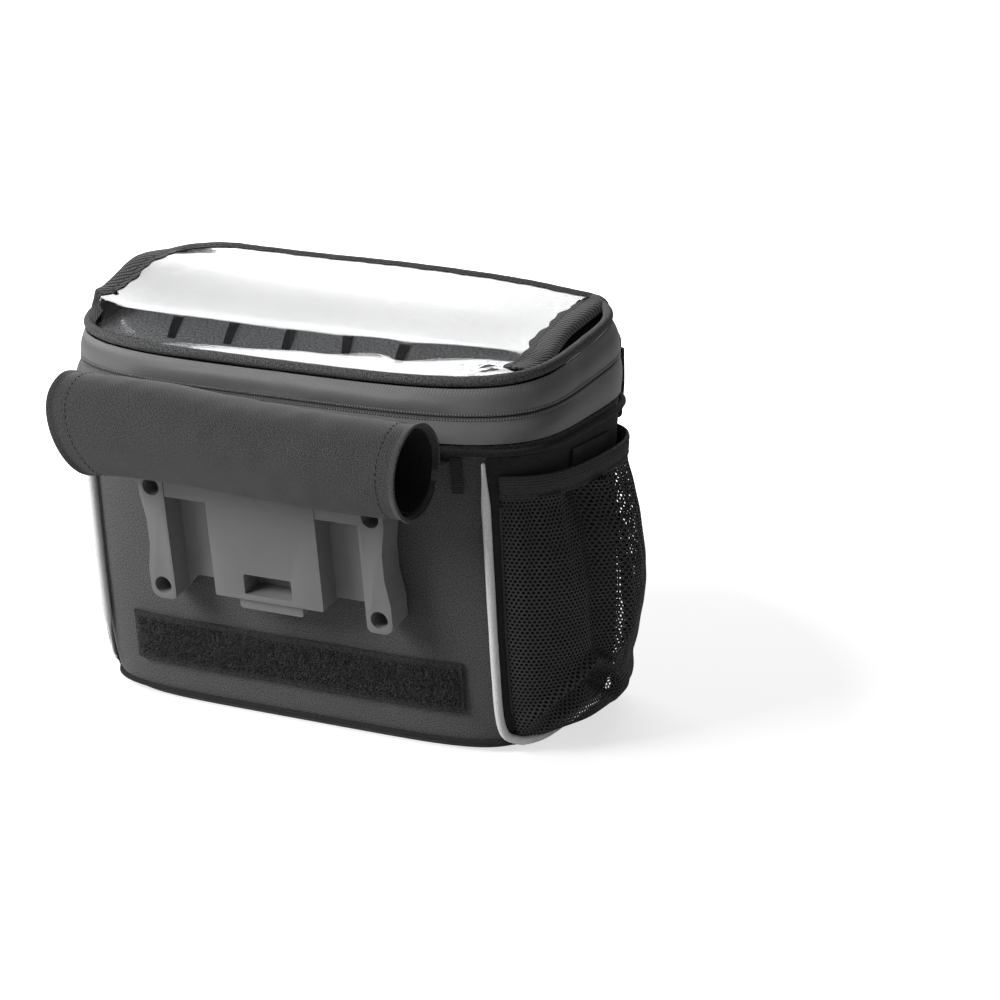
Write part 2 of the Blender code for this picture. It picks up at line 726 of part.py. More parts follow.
def build_plate(plastic, home, cutters):
    """The hard plate: a floor with two columns, a middle pad with a tongue and a top bar, and four
    holes and a latch window through it. It is modelled upright and leaned onto the panel."""
    half = PLATE_WIDTH / 2
    inner = half - COLUMN_WIDTH
    pad = PAD_WIDTH / 2
    tall = PLATE_HEIGHT
    soft = COLUMN_CORNER
    floor_foot = PAD_FOOT + FLOOR_RISE
    floor = slab("mount_plate", rounded([
        (half - 2 * soft, soft, 0), (half - 2 * soft, tall - soft, 0),
        (-half + 2 * soft, tall - soft, 0), (-half + 2 * soft, soft, 0),
        (-inner, soft * 0.5, 0), (-inner + soft, floor_foot, soft * 0.8),
        (inner - soft, floor_foot, soft * 0.8), (inner, soft * 0.5, 0),
    ]), 0, PLATE_FLOOR, home)
    pieces = []
    for side, label in ((1, "right"), (-1, "left")):
        corners = [(inner, 0, soft * 0.6), (half, 0, soft)]
        corners += [
            (half - COLUMN_WAIST * waist, tall * up, COLUMN_CURVE) for up, waist in COLUMN_ROWS
        ]
        corners += [(half, tall, soft), (inner, tall, soft * 0.6)]
        if side < 0:
            corners = [(-x, z, r) for x, z, r in reversed(corners)]
        pieces.append(slab(f"column_{label}", rounded(corners), PLATE_LAP, PLATE_DEPTH, cutters))
    pieces.append(slab("pad", rounded([
        (-pad, PAD_FOOT, PAD_EDGE), (pad, PAD_FOOT, PAD_EDGE), (pad, tall, 0), (-pad, tall, 0),
    ], 2), PLATE_LAP, PLATE_DEPTH, cutters))
    tongue = TONGUE_WIDTH / 2
    pieces.append(slab("tongue", rounded([
        (-tongue, TONGUE_FOOT, TONGUE_EDGE), (tongue, TONGUE_FOOT, TONGUE_EDGE),
        (tongue, PAD_FOOT + TONGUE_LAP, 0), (-tongue, PAD_FOOT + TONGUE_LAP, 0),
    ], 3), PLATE_LAP, PLATE_DEPTH - TONGUE_STEP, cutters))
    pieces.append(slab("top_bar", rounded([
        (-half + soft, tall - TOP_BAR, 0), (half - soft, tall - TOP_BAR, 0),
        (half - soft, tall - PLATE_EDGE, 0), (-half + soft, tall - PLATE_EDGE, 0),
    ]), PLATE_LAP, PLATE_DEPTH - PLATE_LAP, cutters))
    for piece in pieces:
        boolean(floor, piece, "UNION")
    window = slab("latch_window", rounded([
        (-WINDOW_WIDTH / 2, WINDOW_FOOT, PAD_EDGE), (WINDOW_WIDTH / 2, WINDOW_FOOT, PAD_EDGE),
        (WINDOW_WIDTH / 2, WINDOW_FOOT + WINDOW_HEIGHT, PAD_EDGE),
        (-WINDOW_WIDTH / 2, WINDOW_FOOT + WINDOW_HEIGHT, PAD_EDGE),
    ], 2), PLATE_FLOOR, PLATE_DEPTH * 1.5, cutters)
    boolean(floor, window, "DIFFERENCE")
    middle = half - COLUMN_WIDTH / 2
    for side in (-1, 1):
        for z in (HOLE_INSET, tall - HOLE_INSET_TOP):
            ring = [
                Vector((side * middle + HOLE_RADIUS * math.cos(a), z + HOLE_RADIUS * math.sin(a)))
                for a in (2 * math.pi * i / 20 for i in range(20))
            ]
            hole = slab("screw_hole", ring, PLATE_FLOOR, PLATE_DEPTH * 1.5, cutters)
            boolean(floor, hole, "DIFFERENCE")
    foot_y = body_section(PLATE_FOOT).rear_y(0) - GAP
    place = Matrix.Translation((0, foot_y, PLATE_FOOT)) @ Matrix.Rotation(REAR_LEAN, 4, "X")
    floor.matrix_world = place
    for cutter in cutters.objects:
        cutter.matrix_world = place
    floor.data.materials.clear()
    floor.data.materials.append(plastic)


def build_flap(cloth, webbing, home):
    """The cover flap rolled into a sleeve, one sheet that starts at a root seam under the lid."""
    rings = []
    for x_share in (0, 0.08, 0.25, 0.42, 0.58, 0.75, 0.92, 1):
        x = FLAP_LENGTH * (x_share - 0.5) + FLAP_SHIFT
        radius = FLAP_RADIUS_LEFT + (FLAP_RADIUS_RIGHT - FLAP_RADIUS_LEFT) * x_share
        sag = FLAP_SAG * math.sin(2 * math.pi * x_share)
        cord = body_section(BODY_HEIGHT).grown(2 * LOW_CORD + 2 * GAP).rear_y(0)
        centre_y = cord - radius - GAP
        ring = []
        root = body_section(FLAP_ROOT).grown(2 * GAP).rear_y(x)
        ring.append(Vector((x, root, FLAP_ROOT)))
        ring.append(Vector((x, (root + centre_y + radius) / 2, FLAP_ROOT - FLAP_ROOT_DIP)))
        steps = 24
        for i in range(steps + 1):
            angle = math.radians(FLAP_START + FLAP_TURN * i / steps)
            y = centre_y + radius * math.cos(angle)
            z = FLAP_HEIGHT + sag + radius * FLAP_FLATTEN * math.sin(angle)
            rolled = smooth((i / steps - FLAP_TAPER_START) / FLAP_TAPER_REACH)
            drawn_in = FLAP_TAPER * rolled * (1 - x_share)
            ring.append(Vector((x + drawn_in, y, z)))
        rings.append(ring)
    roll = loft("flap_roll", rings, cloth, home, closed=False)
    solidify(roll, FLAP_WALL)
    z_mid = FLAP_HEIGHT - KEEPER_DROP
    surface_patch(
        "flap_strap",
        spread(KEEPER_X - KEEPER_WIDTH / 2, KEEPER_X + KEEPER_WIDTH / 2, 3),
        spread(z_mid - KEEPER_HEIGHT / 2, z_mid + KEEPER_HEIGHT / 2, 3),
        body_section, GAP, KEEPER_WALL, webbing, home,
    )


def film_height(across, along):
    """Height of the film over the lid, across from left to right and along from near to back."""
    bend = between(FILM_ROWS, across, 1) * MAP_RAISE
    middle = between(FILM_ROWS, across, 2) * MAP_RAISE
    back = between(FILM_ROWS, across, 3) * MAP_RAISE
    if along < FILM_BEND:
        share = along / FILM_BEND
        return bend * (1 - (1 - share) ** 2)
    share = (along - FILM_BEND) / (1 - FILM_BEND)
    if share < 0.5:
        return bend + (middle - bend) * smooth(share * 2)
    return middle + (back - middle) * smooth(share * 2 - 1)


def film_near_y(x):
    """The film's near edge, which follows the inside of the top piping."""
    return rim_section().grown(-MAP_INSET).rear_y(x)


def film_point(across, along, extra):
    """A point of the film's sheet, inside its rounded back corners."""
    width = MAP_RIGHT + MAP_LEFT
    x = -MAP_LEFT + width * across
    edge = min(across, 1 - across) * width
    inset = max(0.0, 1 - edge / MAP_CORNER)
    near = film_near_y(x)
    back = MAP_BACK - MAP_CORNER * (1 - math.sqrt(max(0.0, 1 - inset**2)))
    y = near + (back - near) * along
    seat = LID_DOME + GAP + FILM_WALL
    return Vector((x, y, lid_height(y) + seat + film_height(across, along) + extra))


def build_map(film, tape, cloth, home):
    """The clear sleeve on the lid, its binding tape, and the strip with loops below its near edge."""
    columns = spread(0, 1, 15)
    rings = [[film_point(a, b, 0) for a in columns] for b in FILM_LINES]
    window = loft("map_window", rings, film, home, closed=False)
    solidify(window, FILM_WALL)
    path = [(0.0, b) for b in FILM_LINES[1:-1]]
    path += [(a, 1.0) for a in columns]
    path += [(1.0, b) for b in FILM_LINES[-2:0:-1]]
    shrink_x = TAPE_WIDTH / (MAP_RIGHT + MAP_LEFT)
    shrink_y = TAPE_WIDTH / (MAP_BACK - film_near_y(0))
    outer = [film_point(a, b, GAP + TAPE_WALL) for a, b in path]
    inner = [
        film_point(min(max(a, shrink_x), 1 - shrink_x), min(b, 1 - shrink_y), GAP + TAPE_WALL)
        for a, b in path
    ]
    binding = loft("map_binding", [outer, inner], tape, home, closed=False)
    solidify(binding, TAPE_WALL)
    half = MAP_STRIP_LENGTH / 2
    xs = spread(MAP_STRIP_X - half, MAP_STRIP_X + half, 9)
    insets = (MAP_STRIP_INSET, MAP_STRIP_INSET + MAP_STRIP_WIDTH)

    def on_lid(x, inset, extra):
        y = film_near_y(x) + inset
        return Vector((x, y, lid_height(y) + LID_DOME + extra))

    rings = [[on_lid(x, inset, MAP_STRIP_WALL) for x in xs] for inset in insets]
    strip = loft("map_strip", rings, cloth, home, closed=False)
    solidify(strip, MAP_STRIP_WALL)
    bar_insets = (insets[0] + MAP_LOOP_INSET, insets[1] - MAP_LOOP_INSET)
    for i in range(MAP_LOOPS):
        x = MAP_STRIP_X + (i - (MAP_LOOPS - 1) / 2) * MAP_LOOP_PITCH
        rings = []
        for inset, slant in zip(bar_insets, (0.5, -0.5)):
            middle = x + MAP_LOOP_SLANT * slant
            ends = (middle - MAP_LOOP_WIDTH / 2, middle + MAP_LOOP_WIDTH / 2)
            rings.append([on_lid(e, inset, MAP_STRIP_WALL + GAP + MAP_LOOP_WALL) for e in ends])
        bar = loft(f"map_loop_{i + 1}", rings, tape, home, closed=False)
        solidify(bar, MAP_LOOP_WALL)


def build():
    clear_scene()
    home = collection_named("handlebar_bag", False)
    cutters = collection_named("cutters", True)
    cloth = material("heather_cloth", (0.055, 0.056, 0.058), 0.9)
    coated = material("coated_band", (0.040, 0.041, 0.043), 0.55)
    cord = material("zip_tape", (0.025, 0.025, 0.027), 0.6)
    reflective = material("reflective_cord", (0.45, 0.46, 0.47), 0.45)
    webbing = material("webbing", (0.030, 0.030, 0.032), 0.8)
    net = material("net", (0.020, 0.020, 0.021), 0.7)
    elastic = material("elastic", (0.035, 0.035, 0.037), 0.8)
    plastic = material("grey_plastic", (0.12, 0.12, 0.125), 0.5)
    hooks = material("hook_pile", (0.018, 0.018, 0.019), 0.95)
    knit = material("flap_knit", (0.045, 0.045, 0.047), 0.9)
    film = material("clear_film", (0.85, 0.86, 0.87), 0.08)
    tape = material("twill_tape", (0.020, 0.020, 0.022), 0.8)
    metal = material("slider_metal", (0.35, 0.35, 0.36), 0.35, 1.0)
    build_body(cloth, cord, home)
    build_lid(coated, cloth, cord, home)
    build_slider(metal, webbing, home)
    for side in (1, -1):
        build_pocket(side, net, elastic, home)
        build_side_cord(side, reflective, home)
    build_tab(webbing, home)
    surface_patch(
        "hook_strip",
        spread(-STRIP_LENGTH / 2, STRIP_LENGTH / 2, 11),
        spread(STRIP_FOOT, STRIP_FOOT + STRIP_HEIGHT, 3),
        body_section, GAP, STRIP_WALL, hooks, home,
    )
    build_plate(plastic, home, cutters)
    build_flap(knit, webbing, home)
    build_map(film, tape, cloth, home)


build()
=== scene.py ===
"""Handlebar bag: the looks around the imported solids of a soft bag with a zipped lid, net side
pockets, a rolled cover flap, a hard rear mounting plate and a clear map sleeve on the lid.

Metres, +Z up. +X is the bag's right side, -Y the rider's side."""

from __future__ import annotations

import logging
import math
from dataclasses import dataclass, field
from enum import Enum

import bmesh
import bpy
import numpy as np
from mathutils import Matrix, Vector


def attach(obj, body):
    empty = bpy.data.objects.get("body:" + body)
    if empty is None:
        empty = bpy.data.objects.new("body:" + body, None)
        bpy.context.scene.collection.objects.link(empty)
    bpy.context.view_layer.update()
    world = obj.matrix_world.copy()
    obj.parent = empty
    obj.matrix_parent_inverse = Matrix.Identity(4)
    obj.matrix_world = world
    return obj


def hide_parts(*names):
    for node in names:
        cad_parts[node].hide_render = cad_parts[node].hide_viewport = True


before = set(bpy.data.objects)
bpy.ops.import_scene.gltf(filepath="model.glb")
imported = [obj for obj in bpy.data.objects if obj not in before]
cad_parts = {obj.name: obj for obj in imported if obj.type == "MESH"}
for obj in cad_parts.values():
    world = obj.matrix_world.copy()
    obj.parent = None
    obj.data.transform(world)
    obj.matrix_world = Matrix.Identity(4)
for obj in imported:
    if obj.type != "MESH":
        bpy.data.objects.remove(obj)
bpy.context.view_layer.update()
LOG = logging.getLogger("handlebar_bag")
BODY = "root"
WAVE_PERIOD = 0.314159


class Side(Enum):
    """The two sides of the bag, with the sign of X that each lies on."""

    RIGHT = 1
    LEFT = -1


class Weave(Enum):
    """How a cloth's threads show on its face."""

    PLAIN = "plain"
    TWILL = "twill"
    RIBBED = "ribbed"
    WRAPPED = "wrapped"
    COATED = "coated"


# ---------------------------------------------------------------- numbers and small geometry


def smooth(share: np.ndarray) -> np.ndarray:
    """Eases a share from 0 to 1 with level ends.

    Args:
        share: The share.

    Returns:
        The eased share.
    """
    share = np.clip(share, 0.0, 1.0)
    return share * share * (3 - 2 * share)


def bump_at(value: np.ndarray, centre: float, spread: float) -> np.ndarray:
    """A soft hump of height 1 around a centre.

    Args:
        value: Places.
        centre: The hump's middle.
        spread: Its half width.

    Returns:
        The hump's height at each place.
    """
    return np.exp(-(((value - centre) / spread) ** 2))


def table_read(rows: tuple[tuple[float, ...], ...], at: np.ndarray, column: int) -> np.ndarray:
    """Reads one column of a table whose first column rises.

    Args:
        rows: The table, one tuple for each row.
        at: Places in the first column.
        column: Which column is read.

    Returns:
        The values at those places, joined by straight lines.
    """
    steps = np.array([row[0] for row in rows])
    values = np.array([row[column] for row in rows])
    return np.interp(at, steps, values)


def table_smooth(
    rows: tuple[tuple[float, ...], ...], at: np.ndarray, column: int, spread: float = 0.04
) -> np.ndarray:
    """Reads one column of a table as table_read does, with its corners rounded off.

    Args:
        rows: The table, one tuple for each row.
        at: Places in the first column.
        column: Which column is read.
        spread: How far the rounding reaches, as a share of the first column's range.

    Returns:
        The values at those places.
    """
    steps = np.array([row[0] for row in rows])
    reach = (steps[-1] - steps[0]) * spread
    total = np.zeros_like(np.asarray(at, dtype=float))
    shares = (-2.0, -1.0, 0.0, 1.0, 2.0)
    for share in shares:
        total = total + table_read(rows, np.asarray(at) + reach * share, column)
    return total / len(shares)


def grain(points: np.ndarray, scale: float, seed: int) -> np.ndarray:
    """Smooth value noise from -1 to 1 at every point.

    Args:
        points: Places, with X, Y and Z last.
        scale: Lattice cells for each metre.
        seed: Chooses the pattern.

    Returns:
        One value for each point.
    """
    cell = points * scale
    base = np.floor(cell).astype(np.int64)
    part = cell - base
    part = part * part * (3 - 2 * part)
    total = np.zeros(points.shape[:-1])
    for dx in (0, 1):
        for dy in (0, 1):
            for dz in (0, 1):
                mixed = (base[..., 0] + dx) * 73856093
                mixed = mixed ^ ((base[..., 1] + dy) * 19349663)
                mixed = mixed ^ ((base[..., 2] + dz) * 83492791)
                mixed = mixed ^ (seed * 2654435761)
                mixed = (mixed ^ (mixed >> 13)) * 1274126177
                value = ((mixed ^ (mixed >> 16)) & 0xFFFF) / 32767.5 - 1
                weight = np.where(dx, part[..., 0], 1 - part[..., 0])
                weight = weight * np.where(dy, part[..., 1], 1 - part[..., 1])
                weight = weight * np.where(dz, part[..., 2], 1 - part[..., 2])
                total += value * weight
    return total


def unit(vectors: np.ndarray) -> np.ndarray:
    """The vectors at length 1.

    Args:
        vectors: Vectors, with X, Y and Z last.

    Returns:
        Unit vectors.
    """
    return vectors / np.maximum(np.linalg.norm(vectors, axis=-1, keepdims=True), 1e-12)


def lengths_along(points: np.ndarray) -> np.ndarray:
    """The distance travelled along a row of points, starting at 0.

    Args:
        points: The points in order.

    Returns:
        One distance for each point.
    """
    steps = np.linalg.norm(np.diff(points, axis=0), axis=1)
    return np.concatenate([[0.0], np.cumsum(steps)])


def evenly(points: np.ndarray, count: int) -> np.ndarray:
    """The same line through points, with this many points at even steps.

    Args:
        points: The line.
        count: How many points.

    Returns:
        Count by 3 points.
    """
    reach = lengths_along(points)
    at = np.linspace(0, reach[-1], count)
    return np.stack([np.interp(at, reach, points[:, k]) for k in range(3)], axis=1)


def grid_normals(points: np.ndarray, closed: bool) -> np.ndarray:
    """Outward directions of a grid of points whose rows run along and columns run up.

    Args:
        points: Rows by columns by 3.
        closed: Whether each row joins its own start.

    Returns:
        A unit vector for each point.
    """
    if closed:
        along = np.roll(points, -1, axis=1) - np.roll(points, 1, axis=1)
    else:
        along = np.gradient(points, axis=1)
    up = np.gradient(points, axis=0)
    return unit(np.cross(along, up))


@dataclass(frozen=True)
class Outline:
    """A rounded outline in plan: a superellipse with its half sizes, middle and power."""

    half_x: float
    half_y: float
    centre_y: float
    power: float

    def grown(self, by: float) -> Outline:
        """The outline moved outward by a distance.

        Args:
            by: The distance.

        Returns:
            The new outline.
        """
        return Outline(self.half_x + by, self.half_y + by, self.centre_y, self.power)

    def blended(self, other: Outline, share: float) -> Outline:
        """The outline a share of the way to another one.

        Args:
            other: The other outline.
            share: The share.

        Returns:
            The new outline.
        """
        pairs = zip(
            (self.half_x, self.half_y, self.centre_y, self.power),
            (other.half_x, other.half_y, other.centre_y, other.power),
        )
        return Outline(*(a + (b - a) * share for a, b in pairs))

    def at(self, degrees: np.ndarray) -> np.ndarray:
        """Points at these angles. 0 is the right side, -90 the rear and 90 the front.

        Args:
            degrees: The angles.

        Returns:
            A point at height 0 for each angle.
        """
        c, s = np.cos(np.radians(degrees)), np.sin(np.radians(degrees))
        x = np.sign(c) * np.abs(c) ** (2 / self.power) * self.half_x
        y = np.sign(s) * np.abs(s) ** (2 / self.power) * self.half_y + self.centre_y
        return np.stack([x, y, np.zeros_like(x)], axis=-1)

    def angle_of_x(self, x: float) -> float:
        """The angle from the side to the point with this x.

        Args:
            x: The place across.

        Returns:
            Degrees.
        """
        return math.degrees(math.acos(min(1.0, abs(x) / self.half_x) ** (self.power / 2)))

    def rear_y(self, x: np.ndarray) -> np.ndarray:
        """The y of the rear line at an x.

        Args:
            x: The place across.

        Returns:
            The y.
        """
        share = np.clip(np.abs(x) / self.half_x, 0, 1)
        return self.centre_y - self.half_y * (1 - share**self.power) ** (1 / self.power)

    def side_x(self, y: float) -> float:
        """The x of the side line at a y.

        Args:
            y: The place along the depth.

        Returns:
            The x.
        """
        share = min(abs(y - self.centre_y) / self.half_y, 1.0)
        return self.half_x * (1 - share**self.power) ** (1 / self.power)

    def run(self, start: float, end: float, count: int, closed: bool = False) -> np.ndarray:
        """Points at even steps along the outline between two angles.

        Args:
            start: First angle in degrees.
            end: Last angle in degrees.
            count: How many points.
            closed: Whether the last step returns to the first point.

        Returns:
            Count by 3 points at height 0.
        """
        fine = self.at(np.linspace(start, end, 2881))
        reach = lengths_along(fine)
        steps = count if closed else count - 1
        at = reach[-1] * np.arange(count) / steps
        return np.stack([np.interp(at, reach, fine[:, k]) for k in range(3)], axis=1)


# ---------------------------------------------------------------- the bag's shared sizes


@dataclass(frozen=True)
class BagForm:
    """The forms that the pieces share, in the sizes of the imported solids."""

    gap: float = 0.0003
    height: float = 0.156
    base_width: float = 0.241
    base_depth: float = 0.1255
    top_width: float = 0.257
    front_y: float = 0.0628
    rear_slope: float = 0.165
    base_corner: float = 0.030
    power_base: float = 5.4
    power_top: float = 3.9
    plump: float = 0.0018
    zip_width: float = 0.2565
    zip_depth: float = 0.147
    zip_height: float = 0.1672
    zip_rise: float = 0.078
    zip_half: float = 0.0019
    rim_width: float = 0.251
    rim_depth: float = 0.141
    rim_height: float = 0.180
    rim_rise: float = 0.115
    rim_power: float = 3.8
    zip_centre_y: float = -0.0105
    rim_centre_y: float = -0.0125
    side_cord: float = 0.0021
    side_cord_x: float = 0.1055
    left_shift: float = 0.0040
    low_cord: float = 0.0016
    top_cord: float = 0.0025
    foot_rows: tuple[tuple[float, ...], ...] = (
        (0.00, 0.38, 0.10), (0.10, 0.20, 0.03), (0.27, 0.10, 0.01), (0.60, 0.03, 0.00),
        (1.00, 0.00, 0.00),
    )
    swell_rows: tuple[tuple[float, ...], ...] = (
        (0.0, 0.0), (0.35, 0.5), (0.7, -1.0), (0.85, -1.0), (1.0, 0.0),
    )

    def body(self, z: float) -> Outline:
        """The body's outer outline at a height.

        Args:
            z: The height.

        Returns:
            The outline.
        """
        share = z / self.height
        foot = min(z / self.base_corner, 1.0)
        swell = float(table_smooth(self.swell_rows, min(share, 1.0), 1)) * self.plump
        width = self.base_width + (self.top_width - self.base_width) * share + 2 * swell
        width -= 2 * float(table_read(self.foot_rows, foot, 1)) * self.base_corner
        loss = float(table_read(self.foot_rows, foot, 2)) * self.base_corner
        rear = self.front_y - self.base_depth - self.rear_slope * z + loss
        front = self.front_y - loss
        power = self.power_base + (self.power_top - self.power_base) * share
        return Outline(width / 2, (front - rear) / 2, (front + rear) / 2, power)

    def low(self) -> Outline:
        """The lid's lower seam.

        Returns:
            Its outline.
        """
        return self.body(self.height).grown(0.001)

    def zip(self) -> Outline:
        """The zip's outline.

        Returns:
            The outline.
        """
        return Outline(self.zip_width / 2, self.zip_depth / 2, self.zip_centre_y, self.power_top)

    def rim(self) -> Outline:
        """The lid's upper seam.

        Returns:
            Its outline.
        """
        return Outline(self.rim_width / 2, self.rim_depth / 2, self.rim_centre_y, self.rim_power)

    def cord_x(self, side: Side) -> float:
        """How far out the corner piping of a side runs. The left one lies further round.

        Args:
            side: The side.

        Returns:
            The distance from the middle plane.
        """
        return self.side_cord_x + (self.left_shift if side is Side.LEFT else 0.0)

    def rim_z(self, y: np.ndarray) -> np.ndarray:
        """Height of the rim's plane over a place along the depth.

        Args:
            y: The place.

        Returns:
            The height.
        """
        rear = self.rim_centre_y - self.rim_depth / 2
        return self.rim_height + self.rim_rise * (y - rear)


def raised(points: np.ndarray, outline: Outline, height: float, rise: float) -> np.ndarray:
    """The points lifted onto a seam line that climbs toward the front.

    Args:
        points: The points.
        outline: The outline whose rear the line starts at.
        height: The line's height there.
        rise: Its climb for each metre.

    Returns:
        The lifted points.
    """
    rear = outline.centre_y - outline.half_y
    lifted = points.copy()
    lifted[..., 2] = height + rise * (points[..., 1] - rear)
    return lifted


# ---------------------------------------------------------------- meshes


def surface(
    name: str,
    points: np.ndarray,
    flat: np.ndarray,
    closed: bool = False,
    cap_first: bool = False,
    cap_last: bool = False,
    turned: bool = False,
) -> bpy.types.Object:
    """A mesh through a grid of points, with its flat pattern in metres as its UV map.

    Args:
        name: The object's name.
        points: Rows by columns by 3.
        flat: Rows by columns by 2 in metres, with one more column where closed.
        closed: Whether each row joins its own start.
        cap_first: Whether the first row is filled.
        cap_last: Whether the last row is filled.
        turned: Whether the faces look the other way.

    Returns:
        The new object, in the scene's own collection.
    """
    rows, cols = points.shape[:2]
    r, c = np.meshgrid(np.arange(rows - 1), np.arange(cols if closed else cols - 1), indexing="ij")
    nxt = (c + 1) % cols
    quads = np.stack([r * cols + c, r * cols + nxt, (r + 1) * cols + nxt, (r + 1) * cols + c], -1)
    corners = np.stack([flat[r, c], flat[r, c + 1], flat[r + 1, c + 1], flat[r + 1, c]], -2)
    quads, corners = quads.reshape(-1, 4), corners.reshape(-1, 4, 2)
    if turned:
        quads, corners = quads[:, ::-1], corners[:, ::-1]
    faces = quads.tolist()
    loops = [corners.reshape(-1, 2)]
    if cap_first:
        faces.append(list(range(cols))[::-1])
        loops.append(flat[0, :cols][::-1])
    if cap_last:
        faces.append([(rows - 1) * cols + i for i in range(cols)])
        loops.append(flat[-1, :cols])
    mesh = bpy.data.meshes.new(name)
    mesh.from_pydata(points.reshape(-1, 3).tolist(), [], faces)
    layer = mesh.uv_layers.new(name="UVMap")
    layer.data.foreach_set("uv", np.concatenate(loops).astype(np.float32).ravel())
    mesh.update()
    return placed(name, mesh)


def placed(name: str, mesh: bpy.types.Mesh, sharp: float = 45.0) -> bpy.types.Object:
    """An object for a mesh, shaded smooth up to an angle in degrees.

    Args:
        name: Its name.
        mesh: The mesh.
        sharp: The angle.

    Returns:
        The object.
    """
    mesh.shade_smooth()
    mesh.set_sharp_from_angle(angle=math.radians(sharp))
    thing = bpy.data.objects.new(name, mesh)
    bpy.context.scene.collection.objects.link(thing)
    return thing


def flat_pattern(points: np.ndarray, closed: bool = False) -> np.ndarray:
    """A flat pattern in metres for a grid, measured along its middle row and column.

    Args:
        points: Rows by columns by 3.
        closed: Whether each row joins its own start.

    Returns:
        Rows by columns by 2, with one more column where closed.
    """
    rows, cols = points.shape[:2]
    middle = points[rows // 2]
    if closed:
        middle = np.concatenate([middle, middle[:1]])
    u = lengths_along(middle)
    v = lengths_along(points[:, cols // 2])
    return np.stack(np.meshgrid(u, v), axis=-1)


def settled(thing: bpy.types.Object) -> bpy.types.Object:
    """Puts a thing's modifiers into a plain mesh of its own.

    Args:
        thing: The object, with its modifiers.

    Returns:
        The same object, with the result as its mesh and no modifiers.
    """
    bpy.context.view_layer.update()
    graph = bpy.context.evaluated_depsgraph_get()
    mesh = bpy.data.meshes.new_from_object(
        thing.evaluated_get(graph), preserve_all_data_layers=True, depsgraph=graph
    )
    mesh.name = thing.name
    thing.modifiers.clear()
    thing.data = mesh
    return thing


def walled(thing: bpy.types.Object, wall: float, offset: float = -1.0) -> bpy.types.Object:
    """Gives an open surface a wall, away from its normals unless the offset says otherwise.

    Args:
        thing: The surface.
        wall: The wall's thickness.
        offset: -1 in, 1 out.

    Returns:
        The same object.
    """
    made = thing.modifiers.new("Wall", "SOLIDIFY")
    made.thickness = wall
    made.offset = offset
    made.use_even_offset = False
    made.use_rim = True
    settled(thing)
    thing.data.shade_smooth()
    thing.data.set_sharp_from_angle(angle=math.radians(45))
    return thing


def cord_piece(
    name: str,
    path: np.ndarray,
    radius: np.ndarray | float,
    sides: int = 12,
    closed: bool = False,
    flatten: float = 1.0,
    lean: np.ndarray | None = None,
) -> bpy.types.Object:
    """A cord along a path, with a UV map of its length by its girth.

    Args:
        name: The object's name.
        path: Points along the middle.
        radius: One radius, or one for each point.
        sides: Points round the cord.
        closed: Whether the path joins its own start.
        flatten: Height across the lean direction as a share of the width.
        lean: A direction for each point that the first side faces.

    Returns:
        The new object, with rounded ends where it is open.
    """
    count = len(path)
    radius = np.broadcast_to(np.asarray(radius, dtype=float), (count,)).copy()
    if closed:
        along = unit(np.roll(path, -1, axis=0) - np.roll(path, 1, axis=0))
    else:
        along = unit(np.gradient(path, axis=0))
    if lean is None:
        side = np.zeros_like(path)
        start = np.array([0, 0, 1.0]) if abs(along[0, 2]) < 0.9 else np.array([0, 1.0, 0])
        for i in range(count):
            start = start - along[i] * (start @ along[i])
            start = start / np.linalg.norm(start)
            side[i] = start
    else:
        side = unit(lean - along * np.sum(lean * along, axis=1, keepdims=True))
    other = np.cross(along, side)
    if not closed:
        ends = 3
        turns = np.linspace(0, math.pi / 2, ends + 1)[:-1]
        first = [path[0] - along[0] * radius[0] * math.cos(t) * 0.9 for t in turns]
        last = [path[-1] + along[-1] * radius[-1] * math.cos(t) * 0.9 for t in turns[::-1]]
        path = np.concatenate([first, path, last])
        head = [radius[0] * max(math.sin(t), 0.05) for t in turns]
        tail = [radius[-1] * max(math.sin(t), 0.05) for t in turns[::-1]]
        radius = np.concatenate([head, radius, tail])
        side = np.concatenate([[side[0]] * ends, side, [side[-1]] * ends])
        other = np.concatenate([[other[0]] * ends, other, [other[-1]] * ends])
    angles = 2 * math.pi * np.arange(sides) / sides
    spin = side[:, None] * np.cos(angles)[None, :, None] * flatten
    spin = spin + other[:, None] * np.sin(angles)[None, :, None]
    points = path[:, None] + spin * radius[:, None, None]
    reach = lengths_along(path)
    girth = np.linspace(0, 2 * math.pi * radius.max(), sides + 1)
    flat = np.stack(np.broadcast_arrays(reach[:, None], girth[None, :]), axis=-1)
    if closed:
        points = np.concatenate([points, points[:1]])
        last_reach = reach[-1] + np.linalg.norm(path[0] - path[-1])
        flat = np.concatenate([flat, flat[:1] + np.array([last_reach, 0.0])])
    thing = surface(name, points, flat, True, not closed, not closed)
    if closed:
        bm = bmesh.new()
        bm.from_mesh(thing.data)
        bmesh.ops.remove_doubles(bm, verts=bm.verts, dist=1e-7)
        bm.to_mesh(thing.data)
        bm.free()
        thing.data.shade_smooth()
    return thing


# ---------------------------------------------------------------- node trees


